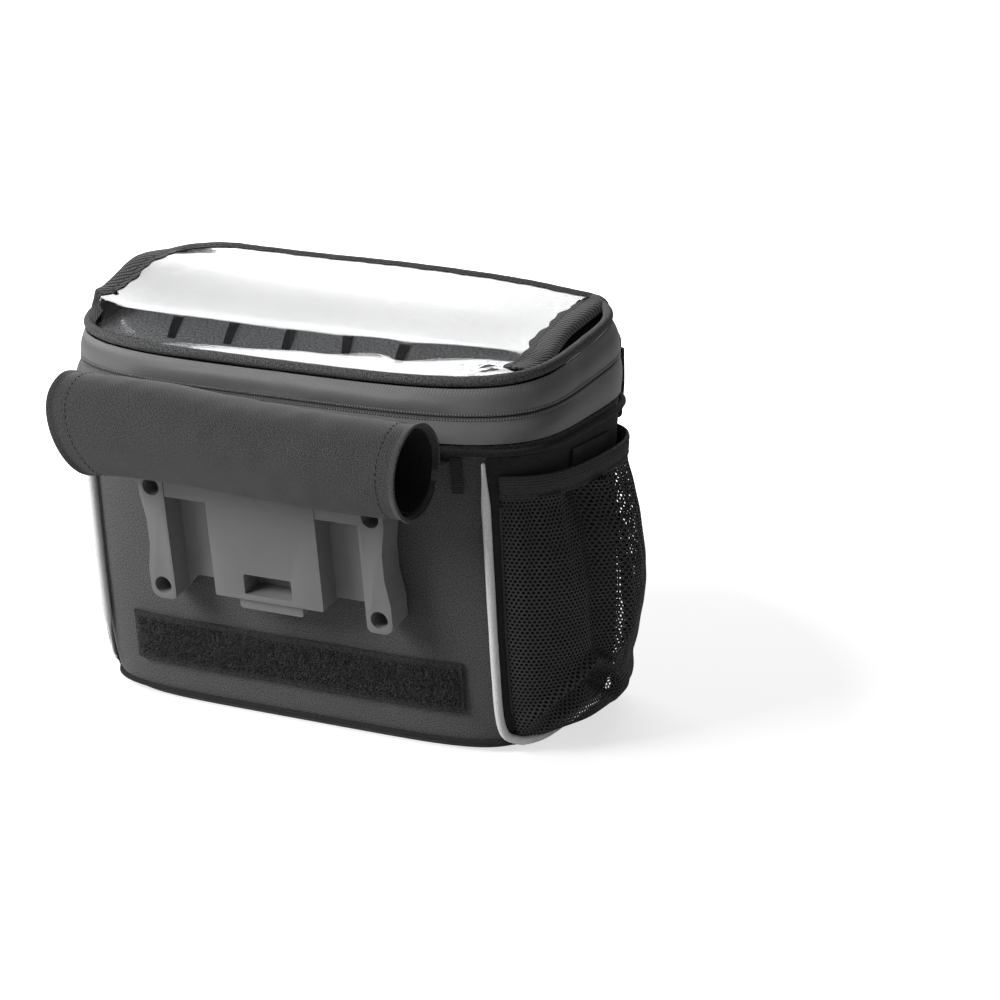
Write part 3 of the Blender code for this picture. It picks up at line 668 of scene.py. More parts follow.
class Nodes:
    """Short words for building a node tree."""

    def __init__(self, tree: bpy.types.NodeTree) -> None:
        """Keeps the tree that the nodes go into.

        Args:
            tree: The tree.
        """
        self.tree = tree

    def add(self, kind: str, **settings: object) -> bpy.types.Node:
        """Adds a node, with its settings or the values of its input sockets by name.

        Args:
            kind: The node's type.
            settings: Node properties, or input values where the name isn't a property.

        Returns:
            The new node.
        """
        node = self.tree.nodes.new(kind)
        for name, value in settings.items():
            if hasattr(node, name):
                setattr(node, name, value)
            else:
                node.inputs[name.replace("_", " ")].default_value = value
        return node

    def wire(self, start: bpy.types.NodeSocket, end: bpy.types.NodeSocket) -> None:
        """Links an output to an input.

        Args:
            start: The output.
            end: The input.
        """
        self.tree.links.new(start, end)

    def maths(self, operation: str, *values: object, clamp: bool = False) -> bpy.types.NodeSocket:
        """A Math node of sockets and numbers.

        Args:
            operation: The node's operation.
            values: Sockets or numbers, in order.
            clamp: Whether the result stays from 0 to 1.

        Returns:
            Its output.
        """
        node = self.tree.nodes.new("ShaderNodeMath")
        node.operation = operation
        node.use_clamp = clamp
        for i, value in enumerate(values):
            if isinstance(value, (int, float)):
                node.inputs[i].default_value = value
            else:
                self.wire(value, node.inputs[i])
        return node.outputs[0]


class FormTree(Nodes):
    """A geometry tree that takes a form, numbers and a finish, and gives one dressed mesh."""

    def __init__(
        self, name: str, takes: str, numbers: tuple[str, ...], whole: tuple[str, ...] = ()
    ) -> None:
        """Makes the tree with its inputs and its output.

        Args:
            name: The tree's name.
            takes: The name of its geometry input.
            numbers: The names of its number inputs.
            whole: The names of its whole-number inputs.
        """
        super().__init__(bpy.data.node_groups.new(name, "GeometryNodeTree"))
        kinds = [(takes, "Geometry"), *((label, "Float") for label in numbers)]
        kinds += [*((label, "Int") for label in whole), ("Finish", "Material")]
        face = self.tree.interface
        for label, kind in kinds:
            face.new_socket(label, in_out="INPUT", socket_type=f"NodeSocket{kind}")
        face.new_socket("Forms", in_out="OUTPUT", socket_type="NodeSocketGeometry")
        self.start = self.add("NodeGroupInput")

    def take(self, label: str, end: bpy.types.NodeSocket) -> None:
        """Links one of the tree's inputs to a socket.

        Args:
            label: The input's name.
            end: The socket.
        """
        self.wire(self.start.outputs[label], end)

    def end(self, forms: bpy.types.NodeSocket) -> None:
        """Realizes the forms, gives them the finish and ends the tree.

        Args:
            forms: The socket that the forms leave.
        """
        real = self.add("GeometryNodeRealizeInstances")
        self.wire(forms, real.inputs[0])
        dressed = self.add("GeometryNodeSetMaterial")
        self.wire(real.outputs[0], dressed.inputs["Geometry"])
        self.take("Finish", dressed.inputs["Material"])
        out = self.add("NodeGroupOutput")
        self.wire(dressed.outputs[0], out.inputs[0])


class PathRepeat:
    """Geometry Nodes that set one small rounded form after another along a line, such as stitches
    and the coils of a zip. The line's points carry an outward direction."""

    outward = "outward"

    def __init__(self) -> None:
        """Builds the tree once."""
        sizes = ("Pitch", "Length", "Width", "Height", "Lean")
        n = FormTree("repeat_along_line", "Line", sizes)
        curve = n.add("GeometryNodeMeshToCurve")
        even = n.add("GeometryNodeResampleCurve", mode="LENGTH")
        n.take("Line", curve.inputs[0])
        n.wire(curve.outputs[0], even.inputs["Curve"])
        n.take("Pitch", even.inputs["Length"])
        bead = n.add("GeometryNodeMeshIcoSphere", Radius=0.5)
        bead.inputs["Subdivisions"].default_value = 1
        size = n.add("ShaderNodeCombineXYZ")
        for i, name in enumerate(("Length", "Width", "Height")):
            n.take(name, size.inputs[i])
        out = n.add("GeometryNodeInputNamedAttribute", data_type="FLOAT_VECTOR")
        out.inputs["Name"].default_value = self.outward
        tangent = n.add("GeometryNodeInputTangent")
        axes = n.add("FunctionNodeAxesToRotation", primary_axis="Z", secondary_axis="X")
        n.wire(out.outputs["Attribute"], axes.inputs[0])
        n.wire(tangent.outputs[0], axes.inputs[1])
        tilt = n.add("ShaderNodeCombineXYZ")
        n.take("Lean", tilt.inputs[2])
        euler = n.add("FunctionNodeEulerToRotation")
        n.wire(tilt.outputs[0], euler.inputs[0])
        turn = n.add("FunctionNodeRotateRotation", rotation_space="LOCAL")
        n.wire(axes.outputs[0], turn.inputs[0])
        n.wire(euler.outputs[0], turn.inputs[1])
        copies = n.add("GeometryNodeInstanceOnPoints")
        n.wire(even.outputs[0], copies.inputs["Points"])
        n.wire(bead.outputs["Mesh"], copies.inputs["Instance"])
        n.wire(turn.outputs[0], copies.inputs["Rotation"])
        n.wire(size.outputs[0], copies.inputs["Scale"])
        n.end(copies.outputs[0])
        self.tree = n.tree

    def run(
        self,
        name: str,
        lines: list[tuple[np.ndarray, np.ndarray]],
        pitch: float,
        size: tuple[float, float, float],
        finish: bpy.types.Material,
        lean: float = 0.0,
        closed: bool = False,
    ) -> bpy.types.Object:
        """Sets the forms along lines.

        Args:
            name: The object's name.
            lines: Points and outward directions, one pair for each line.
            pitch: Distance between forms.
            size: Each form's length, width and height.
            finish: Their material.
            lean: Turn of each form about its outward direction, in radians.
            closed: Whether each line joins its own start.

        Returns:
            One plain mesh object.
        """
        verts, edges, outs = [], [], []
        for points, outward in lines:
            first = len(verts)
            verts += points.tolist()
            outs += outward.tolist()
            edges += [(first + i, first + i + 1) for i in range(len(points) - 1)]
            if closed:
                edges.append((len(verts) - 1, first))
        mesh = bpy.data.meshes.new(name)
        mesh.from_pydata(verts, edges, [])
        made = mesh.attributes.new(self.outward, "FLOAT_VECTOR", "POINT")
        made.data.foreach_set("vector", np.array(outs, dtype=np.float32).ravel())
        thing = bpy.data.objects.new(name, mesh)
        bpy.context.scene.collection.objects.link(thing)
        values = dict(
            Pitch=pitch, Length=size[0], Width=size[1], Height=size[2], Lean=lean, Finish=finish
        )
        return run_tree(thing, self.tree, values)


def run_tree(
    thing: bpy.types.Object, tree: bpy.types.NodeTree, values: dict[str, object]
) -> bpy.types.Object:
    """Runs a geometry tree on an object and keeps the result as its plain mesh.

    Args:
        thing: The object.
        tree: The tree.
        values: The tree's inputs by name.

    Returns:
        The same object.
    """
    made = thing.modifiers.new("Nodes", "NODES")
    made.node_group = tree
    for item in tree.interface.items_tree:
        if item.in_out == "INPUT" and item.name in values:
            made[item.identifier] = values[item.name]
    settled(thing)
    thing.data.shade_smooth()
    return thing


class HoleNet:
    """Geometry Nodes for a flat net of staggered holes, centred on the origin."""

    def __init__(self) -> None:
        """Builds the tree once."""
        n = FormTree("hole_net", "Start", ("Width", "Height", "Pitch", "Hole"))
        width, height, pitch = (n.start.outputs[k] for k in ("Width", "Height", "Pitch"))
        row = n.maths("MULTIPLY", pitch, math.sqrt(3) / 2)
        across = n.maths("ROUND", n.maths("DIVIDE", width, pitch))
        up = n.maths("ROUND", n.maths("DIVIDE", height, row))
        grid = n.add("GeometryNodeMeshGrid")
        n.wire(n.maths("MULTIPLY", across, pitch), grid.inputs["Size X"])
        n.wire(n.maths("MULTIPLY", up, row), grid.inputs["Size Y"])
        n.wire(n.maths("ADD", across, 1), grid.inputs["Vertices X"])
        n.wire(n.maths("ADD", up, 1), grid.inputs["Vertices Y"])
        place = n.add("GeometryNodeInputPosition")
        parts = n.add("ShaderNodeSeparateXYZ")
        n.wire(place.outputs[0], parts.inputs[0])
        half = n.maths("MULTIPLY", n.maths("MULTIPLY", up, row), 0.5)
        number = n.maths("ROUND", n.maths("DIVIDE", n.maths("ADD", parts.outputs[1], half), row))
        odd = n.maths("MULTIPLY", n.maths("FLOORED_MODULO", number, 2), pitch)
        step = n.add("ShaderNodeCombineXYZ")
        n.wire(n.maths("MULTIPLY", odd, 0.5), step.inputs[0])
        shift = n.add("GeometryNodeSetPosition")
        n.wire(grid.outputs["Mesh"], shift.inputs["Geometry"])
        n.wire(step.outputs[0], shift.inputs["Offset"])
        thirds = n.add("GeometryNodeTriangulate")
        n.wire(shift.outputs[0], thirds.inputs["Mesh"])
        cells = n.add("GeometryNodeDualMesh")
        n.wire(thirds.outputs[0], cells.inputs["Mesh"])
        inset = n.add("GeometryNodeExtrudeMesh", mode="FACES")
        inset.inputs["Offset Scale"].default_value = 0.0
        inset.inputs["Individual"].default_value = True
        n.wire(cells.outputs[0], inset.inputs["Mesh"])
        shrink = n.add("GeometryNodeScaleElements", domain="FACE")
        n.wire(inset.outputs["Mesh"], shrink.inputs["Geometry"])
        n.wire(inset.outputs["Top"], shrink.inputs["Selection"])
        n.take("Hole", shrink.inputs["Scale"])
        open_up = n.add("GeometryNodeDeleteGeometry", domain="FACE")
        n.wire(shrink.outputs[0], open_up.inputs["Geometry"])
        n.wire(inset.outputs["Top"], open_up.inputs["Selection"])
        weld = n.add("GeometryNodeMergeByDistance")
        weld.inputs["Distance"].default_value = 0.00002
        n.wire(open_up.outputs[0], weld.inputs["Geometry"])
        n.end(weld.outputs[0])
        self.tree = n.tree

    def run(
        self, name: str, width: float, height: float, pitch: float, hole: float,
        finish: bpy.types.Material,
    ) -> bpy.types.Object:
        """Makes a flat net.

        Args:
            name: The object's name.
            width: Flat width.
            height: Flat height.
            pitch: Distance between holes.
            hole: Hole size as a share of its cell.
            finish: Its material.

        Returns:
            One plain mesh object in the XY plane.
        """
        mesh = bpy.data.meshes.new(name)
        thing = bpy.data.objects.new(name, mesh)
        bpy.context.scene.collection.objects.link(thing)
        values = dict(Width=width, Height=height, Pitch=pitch, Hole=hole, Finish=finish)
        return run_tree(thing, self.tree, values)


class PileField:
    """Geometry Nodes that scatter short leaning hooks over a surface."""

    def __init__(self) -> None:
        """Builds the tree once."""
        n = FormTree("hook_pile", "Ground", ("Density", "Height", "Thickness"), ("Seed",))
        spots = n.add("GeometryNodeDistributePointsOnFaces")
        n.take("Ground", spots.inputs["Mesh"])
        n.take("Density", spots.inputs["Density"])
        n.take("Seed", spots.inputs["Seed"])
        hook = n.add("GeometryNodeMeshCone")
        hook.inputs["Vertices"].default_value = 3
        hook.inputs["Radius Top"].default_value = 0.35
        hook.inputs["Radius Bottom"].default_value = 0.5
        hook.inputs["Depth"].default_value = 1.0
        size = n.add("ShaderNodeCombineXYZ")
        for i, name in enumerate(("Thickness", "Thickness", "Height")):
            n.take(name, size.inputs[i])
        lean = n.add("FunctionNodeRandomValue", data_type="FLOAT_VECTOR")
        lean.inputs[0].default_value = (-0.7, -0.7, 0.0)
        lean.inputs[1].default_value = (0.7, 0.7, 6.28)
        n.take("Seed", lean.inputs["Seed"])
        euler = n.add("FunctionNodeEulerToRotation")
        n.wire(lean.outputs[0], euler.inputs[0])
        turn = n.add("FunctionNodeRotateRotation", rotation_space="LOCAL")
        n.wire(spots.outputs["Rotation"], turn.inputs[0])
        n.wire(euler.outputs[0], turn.inputs[1])
        copies = n.add("GeometryNodeInstanceOnPoints")
        n.wire(spots.outputs["Points"], copies.inputs["Points"])
        n.wire(hook.outputs["Mesh"], copies.inputs["Instance"])
        n.wire(turn.outputs[0], copies.inputs["Rotation"])
        n.wire(size.outputs[0], copies.inputs["Scale"])
        n.end(copies.outputs[0])
        self.tree = n.tree

    def run(
        self, name: str, ground: bpy.types.Object, density: float, height: float,
        thickness: float, finish: bpy.types.Material,
    ) -> bpy.types.Object:
        """Grows a pile on a copy of a surface.

        Args:
            name: The object's name.
            ground: The surface, which stays as it is.
            density: Hooks for each square metre.
            height: Their height.
            thickness: Their thickness.
            finish: Their material.

        Returns:
            One plain mesh object.
        """
        thing = bpy.data.objects.new(name, ground.data.copy())
        bpy.context.scene.collection.objects.link(thing)
        values = dict(
            Density=density, Height=height, Thickness=thickness, Seed=11, Finish=finish
        )
        return run_tree(thing, self.tree, values)


# ---------------------------------------------------------------- finishes


@dataclass(frozen=True)
class ClothFinish:
    """A woven, knitted or coated cloth, with its pattern on the piece's flat pattern in metres."""

    name: str
    colour: tuple[float, float, float]
    weave: Weave = Weave.PLAIN
    thread: float = 0.0007
    fleck: float = 0.0
    fleck_size: float = 0.0009
    patch: float = 0.08
    relief: float = 0.00012
    roughness: float = 0.85
    sheen: float = 0.15
    gloss: float = 0.3
    # tone: how strongly painted shade darkens the colour where the thread relief is low, in grooves
    # and folds
    tone: float = 0.35
    puckers: bool = False
    by_place: bool = False

    def material(self) -> bpy.types.Material:
        """Builds the material.

        Returns:
            A node material that reads the UV map.
        """
        made = bpy.data.materials.new(self.name)
        made.use_nodes = True
        n = Nodes(made.node_tree)
        shader = made.node_tree.nodes["Principled BSDF"]
        if self.by_place:
            where = n.add("ShaderNodeTexCoord").outputs["Object"]
        else:
            where = n.add("ShaderNodeUVMap", uv_map="UVMap").outputs[0]
        relief = self._relief(n, where)
        dark = tuple(c * (1 - self.fleck) for c in self.colour)
        light = tuple(c * (1 + self.fleck) for c in self.colour)
        fine = n.add("ShaderNodeTexNoise", Scale=1 / self.fleck_size, Detail=2.0, Roughness=0.65)
        n.wire(where, fine.inputs["Vector"])
        broad = n.add("ShaderNodeTexNoise", Scale=38.0, Detail=3.0, Roughness=0.6)
        n.wire(where, broad.inputs["Vector"])
        shade = n.maths("SUBTRACT", fine.outputs[0], 0.5)
        shade = n.maths("MULTIPLY_ADD", shade, 2.6, 0.5, clamp=True)
        mix = n.add("ShaderNodeMix", data_type="RGBA")
        mix.inputs["A"].default_value = (*dark, 1)
        mix.inputs["B"].default_value = (*light, 1)
        n.wire(shade, mix.inputs["Factor"])
        worn = n.maths("MULTIPLY_ADD", broad.outputs[0], 2 * self.patch, 1 - self.patch)
        # Painted shade: the colour darkens where the relief is low, in the grooves between threads
        # and in the puckers' folds.
        depth = n.maths("MULTIPLY_ADD", relief, self.tone, 1 - 0.55 * self.tone)
        tone = n.maths("MULTIPLY", worn, depth)
        final = n.add("ShaderNodeVectorMath", operation="SCALE")
        n.wire(mix.outputs["Result"], final.inputs[0])
        n.wire(tone, final.inputs["Scale"])
        n.wire(final.outputs[0], shader.inputs["Base Color"])
        bump = n.add("ShaderNodeBump", Strength=1.0, Distance=self.relief)
        n.wire(relief, bump.inputs["Height"])
        n.wire(bump.outputs[0], shader.inputs["Normal"])
        rough = n.maths("MULTIPLY_ADD", fine.outputs[0], 0.12, self.roughness - 0.06)
        n.wire(rough, shader.inputs["Roughness"])
        shader.inputs["Sheen Weight"].default_value = self.sheen
        shader.inputs["Sheen Roughness"].default_value = 0.55
        shader.inputs["Specular IOR Level"].default_value = self.gloss
        return made

    def _wave(
        self, n: Nodes, where: bpy.types.NodeSocket, turn: float, period: float, warp: float = 0.0
    ) -> bpy.types.NodeSocket:
        """Bands across a direction of the flat pattern.

        Args:
            n: The tree's helper.
            where: The flat pattern's socket.
            turn: The direction in radians.
            period: Distance between bands.
            warp: How much they wander.

        Returns:
            A socket from 0 to 1.
        """
        spin = n.add("ShaderNodeMapping")
        spin.inputs["Rotation"].default_value = (0, 0, turn)
        n.wire(where, spin.inputs["Vector"])
        wave = n.add(
            "ShaderNodeTexWave", wave_type="BANDS", bands_direction="X", Scale=WAVE_PERIOD / period,
            Distortion=warp, Detail=1.0,
        )
        wave.inputs["Detail Scale"].default_value = 0.5
        n.wire(spin.outputs[0], wave.inputs["Vector"])
        return wave.outputs["Fac"]

    def _relief(self, n: Nodes, where: bpy.types.NodeSocket) -> bpy.types.NodeSocket:
        """The height of the threads, from 0 to 1.

        Args:
            n: The tree's helper.
            where: The flat pattern's socket.

        Returns:
            A socket.
        """
        if self.weave is Weave.TWILL:
            ribs = self._wave(n, where, math.radians(52), self.thread, 0.6)
            cross = self._wave(n, where, math.radians(-38), self.thread * 0.6)
            height = n.maths("MULTIPLY_ADD", cross, 0.3, n.maths("MULTIPLY", ribs, 0.7))
        elif self.weave is Weave.RIBBED:
            ribs = self._wave(n, where, math.radians(90), self.thread)
            cross = self._wave(n, where, 0, self.thread * 0.45)
            height = n.maths("MULTIPLY_ADD", cross, 0.25, n.maths("MULTIPLY", ribs, 0.75))
        elif self.weave is Weave.WRAPPED:
            ribs = self._wave(n, where, math.radians(20), self.thread, 0.8)
            fuzz = n.add("ShaderNodeTexNoise", Scale=1400.0, Detail=2.0)
            n.wire(where, fuzz.inputs["Vector"])
            height = n.maths("MULTIPLY_ADD", fuzz.outputs[0], 0.5, n.maths("MULTIPLY", ribs, 0.5))
        elif self.weave is Weave.COATED:
            fuzz = n.add("ShaderNodeTexNoise", Scale=700.0, Detail=3.0, Roughness=0.6)
            n.wire(where, fuzz.inputs["Vector"])
            height = fuzz.outputs[0]
        else:
            warp = self._wave(n, where, 0, self.thread, 0.5)
            weft = self._wave(n, where, math.radians(90), self.thread, 0.5)
            fuzz = n.add("ShaderNodeTexNoise", Scale=1100.0, Detail=2.0)
            n.wire(where, fuzz.inputs["Vector"])
            cross = n.maths("MULTIPLY_ADD", weft, 0.3, n.maths("MULTIPLY", warp, 0.3))
            height = n.maths("MULTIPLY_ADD", fuzz.outputs[0], 0.4, cross)
        if self.puckers:
            # The puckers' folds feed the bump and, through the tone, painted shade in the folds.
            mask = n.add("ShaderNodeAttribute", attribute_name="pucker").outputs["Fac"]
            folds = self._wave(n, where, math.radians(28), 0.0014, 0.3)
            height = n.maths("MULTIPLY_ADD", n.maths("MULTIPLY", folds, mask), 4.0, height)
        return height


@dataclass(frozen=True)
class PlasticFinish:
    """Moulded plastic with a fine eroded grain and slightly rubbed edges."""

    name: str
    colour: tuple[float, float, float]
    roughness: float = 0.55
    grain_scale: float = 1700.0
    grain_depth: float = 0.00005

    def material(self) -> bpy.types.Material:
        """Builds the material.

        Returns:
            A node material that reads Object coordinates.
        """
        made = bpy.data.materials.new(self.name)
        made.use_nodes = True
        n = Nodes(made.node_tree)
        shader = made.node_tree.nodes["Principled BSDF"]
        where = n.add("ShaderNodeTexCoord").outputs["Object"]
        fine = n.add("ShaderNodeTexNoise", Scale=self.grain_scale, Detail=3.0, Roughness=0.6)
        n.wire(where, fine.inputs["Vector"])
        broad = n.add("ShaderNodeTexNoise", Scale=60.0, Detail=2.0)
        n.wire(where, broad.inputs["Vector"])
        edge = n.add("ShaderNodeNewGeometry").outputs["Pointiness"]
        rub = n.maths("MULTIPLY", n.maths("SUBTRACT", edge, 0.52), 4.0, clamp=True)
        tone = n.maths("MULTIPLY_ADD", broad.outputs[0], 0.16, 0.92)
        tone = n.maths("ADD", tone, n.maths("MULTIPLY", rub, 0.3))
        final = n.add("ShaderNodeVectorMath", operation="SCALE")
        final.inputs[0].default_value = self.colour
        n.wire(tone, final.inputs["Scale"])
        n.wire(final.outputs[0], shader.inputs["Base Color"])
        bump = n.add("ShaderNodeBump", Strength=0.8, Distance=self.grain_depth)
        n.wire(fine.outputs[0], bump.inputs["Height"])
        n.wire(bump.outputs[0], shader.inputs["Normal"])
        rough = n.maths("MULTIPLY_ADD", broad.outputs[0], 0.12, self.roughness - 0.06)
        n.wire(rough, shader.inputs["Roughness"])
        shader.inputs["Specular IOR Level"].default_value = 0.4
        return made


@dataclass(frozen=True)
class FilmFinish:
    """Clear glossy film with faint ripples and a little haze."""

    name: str
    tint: tuple[float, float, float] = (0.93, 0.94, 0.95)
    roughness: float = 0.07

    def material(self) -> bpy.types.Material:
        """Builds the material.

        Returns:
            A see-through node material that reads Object coordinates.
        """
        made = bpy.data.materials.new(self.name)
        made.use_nodes = True
        n = Nodes(made.node_tree)
        shader = made.node_tree.nodes["Principled BSDF"]
        where = n.add("ShaderNodeTexCoord").outputs["Object"]
        ripple = n.add("ShaderNodeTexNoise", Scale=45.0, Detail=2.0)
        n.wire(where, ripple.inputs["Vector"])
        bump = n.add("ShaderNodeBump", Strength=0.15, Distance=0.0004)
        n.wire(ripple.outputs[0], bump.inputs["Height"])
        n.wire(bump.outputs[0], shader.inputs["Normal"])
        rough = n.maths("MULTIPLY_ADD", ripple.outputs[0], 0.04, self.roughness - 0.02)
        n.wire(rough, shader.inputs["Roughness"])
        shader.inputs["Base Color"].default_value = (*self.tint, 1)
        shader.inputs["IOR"].default_value = 1.5
        shader.inputs["Transmission Weight"].default_value = 1.0
        return made


@dataclass(frozen=True)
class MetalFinish:
    """Dark painted metal with small worn spots."""

    name: str
    colour: tuple[float, float, float] = (0.10, 0.10, 0.105)

    def material(self) -> bpy.types.Material:
        """Builds the material.

        Returns:
            A node material that reads Object coordinates.
        """
        made = bpy.data.materials.new(self.name)
        made.use_nodes = True
        n = Nodes(made.node_tree)
        shader = made.node_tree.nodes["Principled BSDF"]
        where = n.add("ShaderNodeTexCoord").outputs["Object"]
        fine = n.add("ShaderNodeTexNoise", Scale=900.0, Detail=3.0)
        n.wire(where, fine.inputs["Vector"])
        final = n.add("ShaderNodeVectorMath", operation="SCALE")
        final.inputs[0].default_value = self.colour
        n.wire(n.maths("MULTIPLY_ADD", fine.outputs[0], 0.5, 0.75), final.inputs["Scale"])
        n.wire(final.outputs[0], shader.inputs["Base Color"])
        n.wire(n.maths("MULTIPLY_ADD", fine.outputs[0], 0.2, 0.28), shader.inputs["Roughness"])
        shader.inputs["Metallic"].default_value = 0.6
        return made


class Finishes:
    """Every finish of the bag, made once."""

    # Each cloth's tone sets how much painted shade darkens its thread grooves and folds.
    recipes = (
        ClothFinish(
            "heather_cloth", (0.073, 0.073, 0.075), thread=0.0008, fleck=0.95, fleck_size=0.0006,
            patch=0.07, relief=0.00006
        ),
        ClothFinish(
            "flap_knit", (0.049, 0.049, 0.051), Weave.TWILL, thread=0.0011, fleck=0.85,
            fleck_size=0.0006, relief=0.00007, tone=0.5,
        ),
        # Partly the bands' own grey and partly painted sheen: the colour is set lighter to carry the
        # sheen that the key light no longer reflects.
        ClothFinish(
            "coated_cloth", (0.135, 0.135, 0.138), Weave.COATED, fleck=0.12, relief=0.00006,
            roughness=0.44, gloss=0.6, sheen=0.0, puckers=True,
        ),
        ClothFinish(
            "lid_cloth", (0.011, 0.011, 0.0115), thread=0.0007, fleck=0.3, sheen=0.0, gloss=0.08,
            roughness=0.95,
        ),
        ClothFinish(
            "side_cloth", (0.030, 0.030, 0.031), thread=0.0007, fleck=0.3, sheen=0.05, gloss=0.15,
            roughness=0.9,
        ),
        ClothFinish(
            "heather_cord", (0.085, 0.085, 0.087), Weave.WRAPPED, thread=0.0010, fleck=0.8, tone=0.8,
            sheen=0.05, gloss=0.15, relief=0.0002,
        ),
        # Partly the strip's own paler grey and partly painted light: set lighter to make up for the
        # light that the clear film holds back.
        ClothFinish(
            "strip_cloth", (0.210, 0.210, 0.214), thread=0.0009, fleck=0.8, fleck_size=0.0012,
            patch=0.2, sheen=0.0, gloss=0.1,
        ),
        ClothFinish(
            "cord_cloth", (0.026, 0.026, 0.027), Weave.WRAPPED, thread=0.0012, fleck=0.25,
            sheen=0.05, gloss=0.15,
        ),
        ClothFinish(
            "zip_tape", (0.085, 0.085, 0.087), Weave.COATED, fleck=0.12, roughness=0.5, sheen=0.0,
        ),
        # Painted highlight: the coils are paler than the dark tape to stand for their glints.
        ClothFinish(
            "zip_thread", (0.260, 0.260, 0.265), Weave.COATED, fleck=0.2, roughness=0.4,
            gloss=0.6, sheen=0.0,
        ),
        ClothFinish(
            "binding_tape", (0.046, 0.046, 0.047), Weave.TWILL, thread=0.0018, fleck=0.35,
            relief=0.00045, tone=1.5, sheen=0.15, gloss=0.25,
        ),
        ClothFinish(
            "webbing", (0.032, 0.032, 0.033), Weave.RIBBED, thread=0.0012, fleck=0.25,
            relief=0.0003, sheen=0.05, gloss=0.2,
        ),
        ClothFinish(
            "elastic", (0.056, 0.056, 0.057), Weave.RIBBED, thread=0.0013, fleck=0.25,
            relief=0.0003, sheen=0.05, gloss=0.2,
        ),
        ClothFinish(
            "net", (0.024, 0.024, 0.025), thread=0.0006, fleck=0.25, relief=0.0001, sheen=0.05,
            gloss=0.5, roughness=0.6,
        ),
        ClothFinish(
            "reflective_cloth", (0.78, 0.78, 0.79), Weave.COATED, fleck=0.08, relief=0.00004,
            roughness=0.45, gloss=0.5,
        ),
        ClothFinish(
            "hook_pile", (0.032, 0.032, 0.033), Weave.RIBBED, thread=0.0012, fleck=0.4,
            relief=0.0003, sheen=0.05, gloss=0.2,
        ),
        ClothFinish(
            "hook_fibre", (0.038, 0.038, 0.039), Weave.COATED, fleck=0.9, fleck_size=0.0022,
            roughness=0.4, gloss=0.5, by_place=True,
        ),
        # Painted shade: a near-black cloth for the sheet inside the flap's roll, standing for the
        # shadow in the tube.
        ClothFinish(
            "dark_lining", (0.028, 0.028, 0.029), fleck=0.3, sheen=0.0, gloss=0.05,
            roughness=0.95,
        ),
        PlasticFinish("plate_plastic", (0.185, 0.185, 0.188)),
        MetalFinish("slider_metal"),
        FilmFinish("clear_film"),
        ClothFinish(
            "stitch_thread", (0.042, 0.042, 0.043), thread=0.0004, fleck=0.2, by_place=True
        ),
    )

    def __init__(self) -> None:
        """Builds the materials."""
        self.made = {recipe.name: recipe.material() for recipe in self.recipes}

    def __getitem__(self, name: str) -> bpy.types.Material:
        """The material of this name.

        Args:
            name: The finish's name.

        Returns:
            The material.
        """
        return self.made[name]


@dataclass
class Workshop:
    """What every sub-assembly is made with: the shared forms, the finishes and the node trees."""

    form: BagForm
    finishes: Finishes
    repeat: PathRepeat
    net: HoleNet
    pile: PileField

    def dress(
        self, thing: bpy.types.Object, finish: str, slot: str, *nodes: str
    ) -> bpy.types.Object:
        """Gives a piece its material and body, and hides the solids that it stands for.

        Args:
            thing: The finished piece.
            finish: The name of its finish.
            slot: The record's material slot; not used.
            nodes: The solids that it replaces.

        Returns:
            The same piece.
        """
        thing.data.materials.clear()
        thing.data.materials.append(self.finishes[finish])
        thing.data.polygons.foreach_set(
            "material_index", np.zeros(len(thing.data.polygons), dtype=np.int32)
        )
        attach(thing, BODY)
        if nodes:
            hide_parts(*nodes)
        LOG.info("%s: %d faces", thing.name, len(thing.data.polygons))
        return thing


# ---------------------------------------------------------------- sub-assemblies


